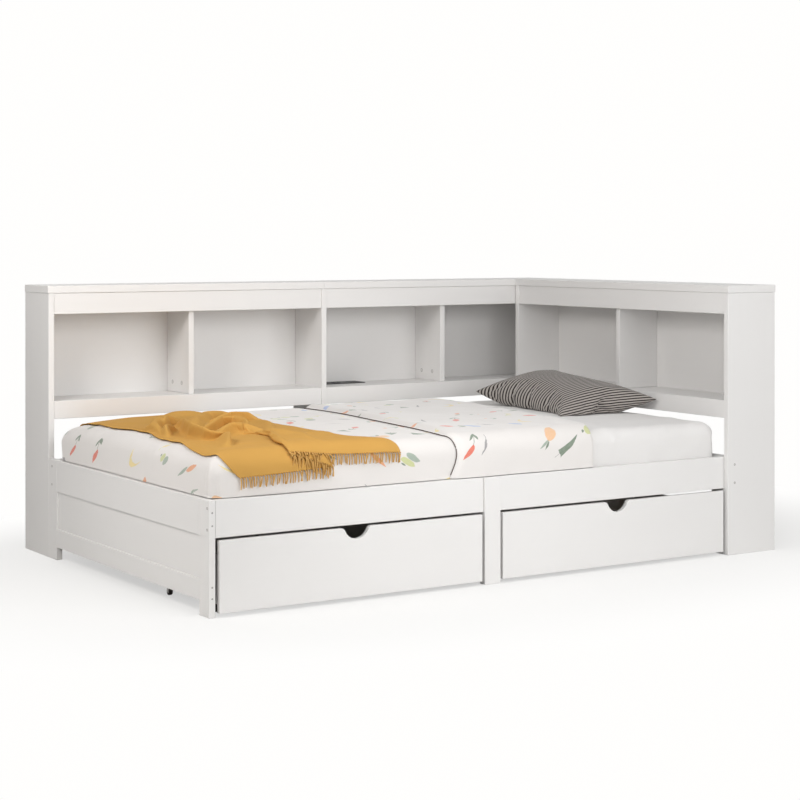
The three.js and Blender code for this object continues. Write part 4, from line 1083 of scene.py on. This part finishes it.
def throw_shape(rows, columns):
    """The throw as laid out: edges along their curves, a pleat that doubles back at the front hem,
    and the gathered folds standing up. Returns the places."""
    share = np.linspace(0, 1, rows)[:, None]
    front = np.interp(share, *HEM_ACROSS)
    back = FLAT_HIGH[1] + LIP_START + (LIP_END - LIP_START) * WALL_TURN
    across = front + (back - front) * np.linspace(0, 1, columns)[None, :]
    depth = (across - MATTRESS_LOW[1]) / (MATTRESS_HIGH[1] - MATTRESS_LOW[1])
    fold = np.interp(depth, *PLEAT_EDGE)
    pleated = 1 - smooth(*PLEAT_FADES, depth)
    first, second = PLEAT_CLOTH
    under_end = fold + PLEAT_DEPTH
    doubled = under_end + (fold - under_end) * (share - first) / (second - first)
    upper = fold + (1 - fold) * (share - second) / (1 - second)
    plan = np.where(share < second, doubled, upper)
    plan = np.where(share < first, share * under_end / first, plan)
    plan = share + (plan - share) * pleated
    layer = np.interp(share, [0, first - 0.04, first, second - 0.03, second + 0.02, 0.78, 1],
                      [0, 0, 0.004, 0.008, 0.012, 0.008, 0.001])
    left, right = edge_curve(LEFT_EDGE, depth), edge_curve(RIGHT_EDGE, depth)
    along = left + (right - left) * plan
    rise, lean = fold_heights(along, across)
    inside = np.minimum(smooth(0, 0.09, share), 1 - smooth(0.93, 1, share))
    inside = inside * (1 - smooth(0.93, 1, depth))
    near_wall = smooth(0.55, 0.85, depth) * (1 - smooth(-0.90, -0.78, along))
    swell = 0.004 * (1 + cloud(along, across, 0.10, 21)) * inside * (1 - 0.8 * near_wall)
    rim = 0.002 * (1 - smooth(0, 0.03, share))
    rest = DUVET_TOP + duvet_puffs(along, across) + 0.0025 + THROW_THICKNESS / 2
    lift = rest + layer * pleated + rise * inside + swell + rim
    lean = lean * inside[..., None]
    return over_mattress(along + lean[..., 0], across + lean[..., 1], lift)


def make_throw():
    """Laid out by formula, then settled as cloth on a temporary copy of the duvet's top, with its
    outer edges held."""
    rows, columns = ((110, 184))
    places = throw_shape(rows, columns)
    lay = np.stack([lengths_along(places, 0), lengths_along(places, 1)], -1)
    faces = grid_quads(rows, columns)[:, ::-1]
    piece = new_piece(
        "throw_blanket_cloth", places.reshape(-1, 3), faces, THROW_CLOTH, uv=lay.reshape(-1, 2),
        slot="throw_weave",
    )
    bed_along, bed_across = np.meshgrid(
        np.linspace(MATTRESS_LOW[0] - 0.02, 0.0, SUPPORT_STEPS[0]),
        FLAT_LOW[1] + np.linspace(-0.16, 1.32, SUPPORT_STEPS[1]), indexing="ij",
    )
    lift = DUVET_TOP + duvet_puffs(bed_along, bed_across) + 0.0005
    under = over_mattress(bed_along, bed_across, lift)
    quads = grid_quads(*SUPPORT_STEPS)[:, ::-1]
    bed = new_piece("throw_support", under.reshape(-1, 3), quads, THROW_CLOTH)
    bed.modifiers.new("touch", "COLLISION")
    bed.collision.thickness_outer, bed.collision.cloth_friction = 0.002, 20.0
    held = np.zeros((rows, columns))
    held[[0, -1], :] = 1
    held[:, [0, 1, -1]] = 1
    settled = settle(piece, 7, held.ravel(), gravity=0.5, mass=0.02)
    bpy.data.objects.remove(bed)
    move_to(piece, settled)
    surface = settled.reshape(rows, columns, 3)
    thicken = piece.modifiers.new("thickness", "SOLIDIFY")
    thicken.thickness, thicken.offset = THROW_THICKNESS, 0.0
    smooth_out(piece)
    fringe = make_fringe(surface[:, 0], surface[:, 3])
    walked = lengths_along(surface, 0)[-1], lengths_along(surface, 1)[:, -1]
    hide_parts("throw_blanket")


def make_fringe(hem, inner):
    """Knotted strands along the hem: each a tapered tube that leaves the cloth in its own
    direction, then hangs and wanders a little; those of the pleat's upper layer are tangled."""
    random = np.random.default_rng(31)
    walked = lengths_along(hem[:, None], 0)[:, 0]
    starts = np.arange(0.004, walked[-1], FRINGE_PITCH)
    root, back = (
        np.stack([np.interp(starts, walked, column) for column in edge.T], -1)
        for edge in (hem, inner)
    )
    ahead = root - back
    ahead /= np.linalg.norm(ahead, axis=1)[:, None]
    share = starts / walked[-1]
    tangled = smooth(PLEAT_CLOTH[0], PLEAT_CLOTH[1], share) * (1 - smooth(0.68, 0.74, share))
    t = np.linspace(0, 1, 7)
    shells = []
    for k in range(len(starts)):
        long = random.uniform(0.030, 0.036) * (1 + 0.25 * tangled[k])
        side = random.normal(0, 0.004 + 0.009 * tangled[k])
        out = random.uniform(0.002, 0.004 + 0.006 * tangled[k])
        hang = 0.25 * ahead[k] * (1 - t)[:, None] + np.array([0, 0, -1]) * t[:, None]
        rise = 0.15 * abs(side) * t
        drift = np.stack([side * t**1.4, -out * np.sin(math.pi * t / 1.4), rise], -1)
        path = root[k] + hang * long * t[:, None] + drift
        thick = 0.0024 * (1 - 0.3 * t**2) * (1 + 0.10 * np.sin(9 * t + k))
        shells.append(tube_shell(path, thick, 7))
    return solid("throw_fringe", shells, FRINGE_YARN, slot="throw_weave")


MUSTARD = (0.60, 0.335, 0.085)
THROW_CLOTH = cloth_weave("mustard_throw", MUSTARD, 420.0, 0.92, 0.0005, 0.0)[0].material
FRINGE_YARN = moulded("mustard_yarn", (0.54, 0.31, 0.09), 0.9, 260.0)
make_throw()

# Pillow.

PILLOW_LOW_FRONT = np.array([0.4955, -0.313, 0.484])
PILLOW_LOW_WALL = np.array([0.5655, 0.340, 0.524])
PILLOW_HIGH_FRONT = np.array([0.8955, -0.386, 0.530])
PILLOW_HIGH_WALL = np.array([0.8955, 0.264, 0.587])
PILLOW_SIZE = (0.46, 0.72)
PILLOW_HALF = 0.073
PILLOW_STEPS = (72, 112)
CUT_RISE = 0.022
LOW_EDGE_DIP = 0.016
SHEET_CLEARANCE = 0.006
PRESSED_TO = 0.04
STRIPE_PITCH = 0.018


def pillow_shape(rows, columns, thickness):
    """Two layers of a rectangle with shared rims, each a shallow dome: thickness times the root of
    (1 - u^2) (1 - v^2)."""
    u, v = square(rows, columns)
    dome = np.sqrt(np.clip((1 - u * u) * (1 - v * v), 0, 1))
    x, y = u * PILLOW_SIZE[0] / 2, v * PILLOW_SIZE[1] / 2
    return [np.stack([x, y, way * thickness * dome], -1) for way in (1, -1)]


def make_pillow():
    """Inflated as cloth from its flat cut, then laid between its four corners and pressed flat
    where it rests on the sheet."""
    rows, columns = PILLOW_STEPS
    upper, lower = pillow_shape(rows, columns, CUT_RISE)
    count = rows * columns
    number = np.arange(count).reshape(rows, columns)
    rim = np.zeros((rows, columns), bool)
    rim[[0, -1], :] = rim[:, [0, -1]] = True
    lower_number = np.where(rim, number, number + count)
    quads = grid_quads(rows, columns)
    faces = np.concatenate([quads, lower_number.ravel()[quads][:, ::-1]])
    points = np.concatenate([upper.reshape(-1, 3), lower.reshape(-1, 3)])
    used, faces = np.unique(faces, return_inverse=True)
    points, faces = points[used], faces.reshape(-1, 4)[:, ::-1]
    piece = new_piece(
        "pillow_cover", points, faces, PILLOW_CLOTH, uv=points[:, :2], slot="pillow_stripe"
    )
    places = settle(
        piece, 26, held=np.zeros(len(points)), gravity=0.0, pressure=5.0, stiffness=12.0,
        bending=0.25,
    )
    places = places - (places.min(0) + places.max(0)) / 2
    span = places.max(0)
    s, t = (places[:, 0] / span[0] + 1) / 2, (places[:, 1] / span[1] + 1) / 2
    low = PILLOW_LOW_FRONT + (PILLOW_LOW_WALL - PILLOW_LOW_FRONT) * t[:, None]
    high = PILLOW_HIGH_FRONT + (PILLOW_HIGH_WALL - PILLOW_HIGH_FRONT) * t[:, None]
    laid = low + (high - low) * s[:, None]
    laid[:, 2] += places[:, 2] * PILLOW_HALF / span[2]
    laid[:, 2] -= LOW_EDGE_DIP * np.sin(math.pi * t) * (1 - s)
    rest = over_mattress(laid[:, 0], laid[:, 1], SHEET_CLEARANCE)[:, 2]
    pressed = rest + PRESSED_TO * (laid[:, 2] - rest)
    laid[:, 2] = np.where(laid[:, 2] < rest, pressed, laid[:, 2])
    move_to(piece, laid)
    smooth_out(piece)
    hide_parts("pillow")


def ticking_cloth():
    """Woven stripes across the pillow: each period is part dark and part pale, with soft edges
    where the threads change."""
    finish, cloth, _, along = cloth_weave("pillow_stripe", (0.40, 0.37, 0.345), 1200.0, 0.85)
    wave = abs((along / STRIPE_PITCH).math("FRACT") - 0.5) * 2
    dark = ((wave - 0.54) * 9 + 0.5).clipped()
    slub = finish.noise(cloth, 300.0, 2.0)
    pale = finish.blend(slub, (0.38, 0.35, 0.325, 1), (0.46, 0.43, 0.40, 1))
    deep = finish.blend(slub, (0.022, 0.017, 0.017, 1), (0.036, 0.029, 0.028, 1))
    finish.colour(finish.blend(dark, pale, deep))
    return finish.material


PILLOW_CLOTH = ticking_cloth()
make_pillow()

# Camera and light.

PHOTO_WIDTH = 800
LENS_PIXELS = 1843.90
CENTRE_X, CENTRE_Y = 430.0, 243.66
CAMERA_AT = Vector((-3.58067, -5.67626, 1.12583))
CAMERA_YAW, CAMERA_PITCH = math.radians(33.198), math.radians(-0.1245)

camera_data = bpy.data.cameras.new("photo_camera")
camera = added("photo_camera", camera_data)
camera.location = CAMERA_AT
camera.rotation_euler = (math.pi / 2 + CAMERA_PITCH, 0, -CAMERA_YAW)
camera_data.sensor_width = 36.0
camera_data.lens = 36.0 * LENS_PIXELS / PHOTO_WIDTH
camera_data.shift_x = (PHOTO_WIDTH / 2 - CENTRE_X) / PHOTO_WIDTH
camera_data.shift_y = (CENTRE_Y - PHOTO_WIDTH / 2) / PHOTO_WIDTH
camera_data.clip_end = 60.0
bpy.context.scene.camera = camera


def area_light(name, place, target, size, watts, colour=(1, 1, 1)):
    """A soft box that faces a point."""
    data = bpy.data.lights.new(name, "AREA")
    data.shape, data.size, data.size_y, data.energy, data.color = "RECTANGLE", *size, watts, colour
    light = added(name, data)
    light.location = place
    light.rotation_euler = (Vector(target) - Vector(place)).to_track_quat("-Z", "Y").to_euler()
    light.visible_camera = False


area_light("front_softbox", (1.2, -5.6, 2.1), (0.2, 0, 0.5), (5.0, 3.0), 122)
area_light("overhead_softbox", (-0.4, -0.3, 4.2), (0.2, 0.2, 0.4), (4.0, 3.0), 31)
area_light("head_softbox", (-0.5, -1.5, 1.3), (1.1, 0.0, 0.65), (1.4, 1.0), 8.8)
WARM = (1.0, 0.97, 0.94)
area_light("side_softbox", (-2.6, -0.6, 1.9), (-0.9, -0.2, 0.35), (1.0, 1.0), 32.5, WARM)


WHITE, WARM_SKY = (1.0, 0.995, 0.985, 1), (1.0, 0.97, 0.945, 1)
scene = bpy.context.scene
scene.view_settings.view_transform = "Standard"
scene.world = bpy.data.worlds.new("studio")
sky = Finish("studio", scene.world, "Background")
kinds = ("Camera", "Glossy", "Transmission")
rays = [sky.node("ShaderNodeLightPath", output=f"Is {kind} Ray") for kind in kinds]
seen = rays[0].math("MAXIMUM", rays[1]).math("MAXIMUM", rays[2])
x, y, z = sky.split(sky.node("ShaderNodeTexCoord", output="Generated"))
# For lighting, the sky's strength depends on the direction looked in; as seen, it is white.
level = 0.26 + 0.13 * x - 0.155 * y - 0.12 * z
sky.feed(sky.shader.inputs["Strength"], level + (1 - level) * seen)
sky.feed(sky.shader.inputs["Color"], sky.blend(seen, WARM_SKY, WHITE))

# The floor is lit near the bed and, as the camera sees it, fades into the white background.
ground = Finish("studio_floor", Base_Color=(0.84, 0.84, 0.83, 1), Roughness=0.9)
distance = ground.vector("LENGTH", {0: ground.where((0.62, 0.92, 0))}, "Value")
reach = {"Value": distance, "From Min": 0.7, "From Max": 1.5, "To Min": 0.55, "To Max": 1.0}
fade = ground.node("ShaderNodeMapRange", {"interpolation_type": "SMOOTHSTEP"}, reach)
share = fade * ground.node("ShaderNodeLightPath", output="Is Camera Ray")
white = ground.node("ShaderNodeEmission", None, {"Color": WHITE, "Strength": 1.0})
lit = Signal(ground, ground.shader.outputs[0])
mixed = ground.node("ShaderNodeMixShader", None, {0: share, 1: lit, 2: white})
ground.feed(ground.tree.nodes["Material Output"].inputs["Surface"], mixed)
FLOOR_REACH, FLOOR_Z = 14, -0.0005
signs = ((-1, -1), (1, -1), (1, 1), (-1, 1))
corners = [(FLOOR_REACH * x, FLOOR_REACH * y, FLOOR_Z) for x, y in signs]
floor_mesh = bpy.data.meshes.new("studio_floor")
floor_mesh.from_pydata(corners, [], [[0, 1, 2, 3]])
floor_mesh.materials.append(ground.material)
added("studio_floor", floor_mesh)
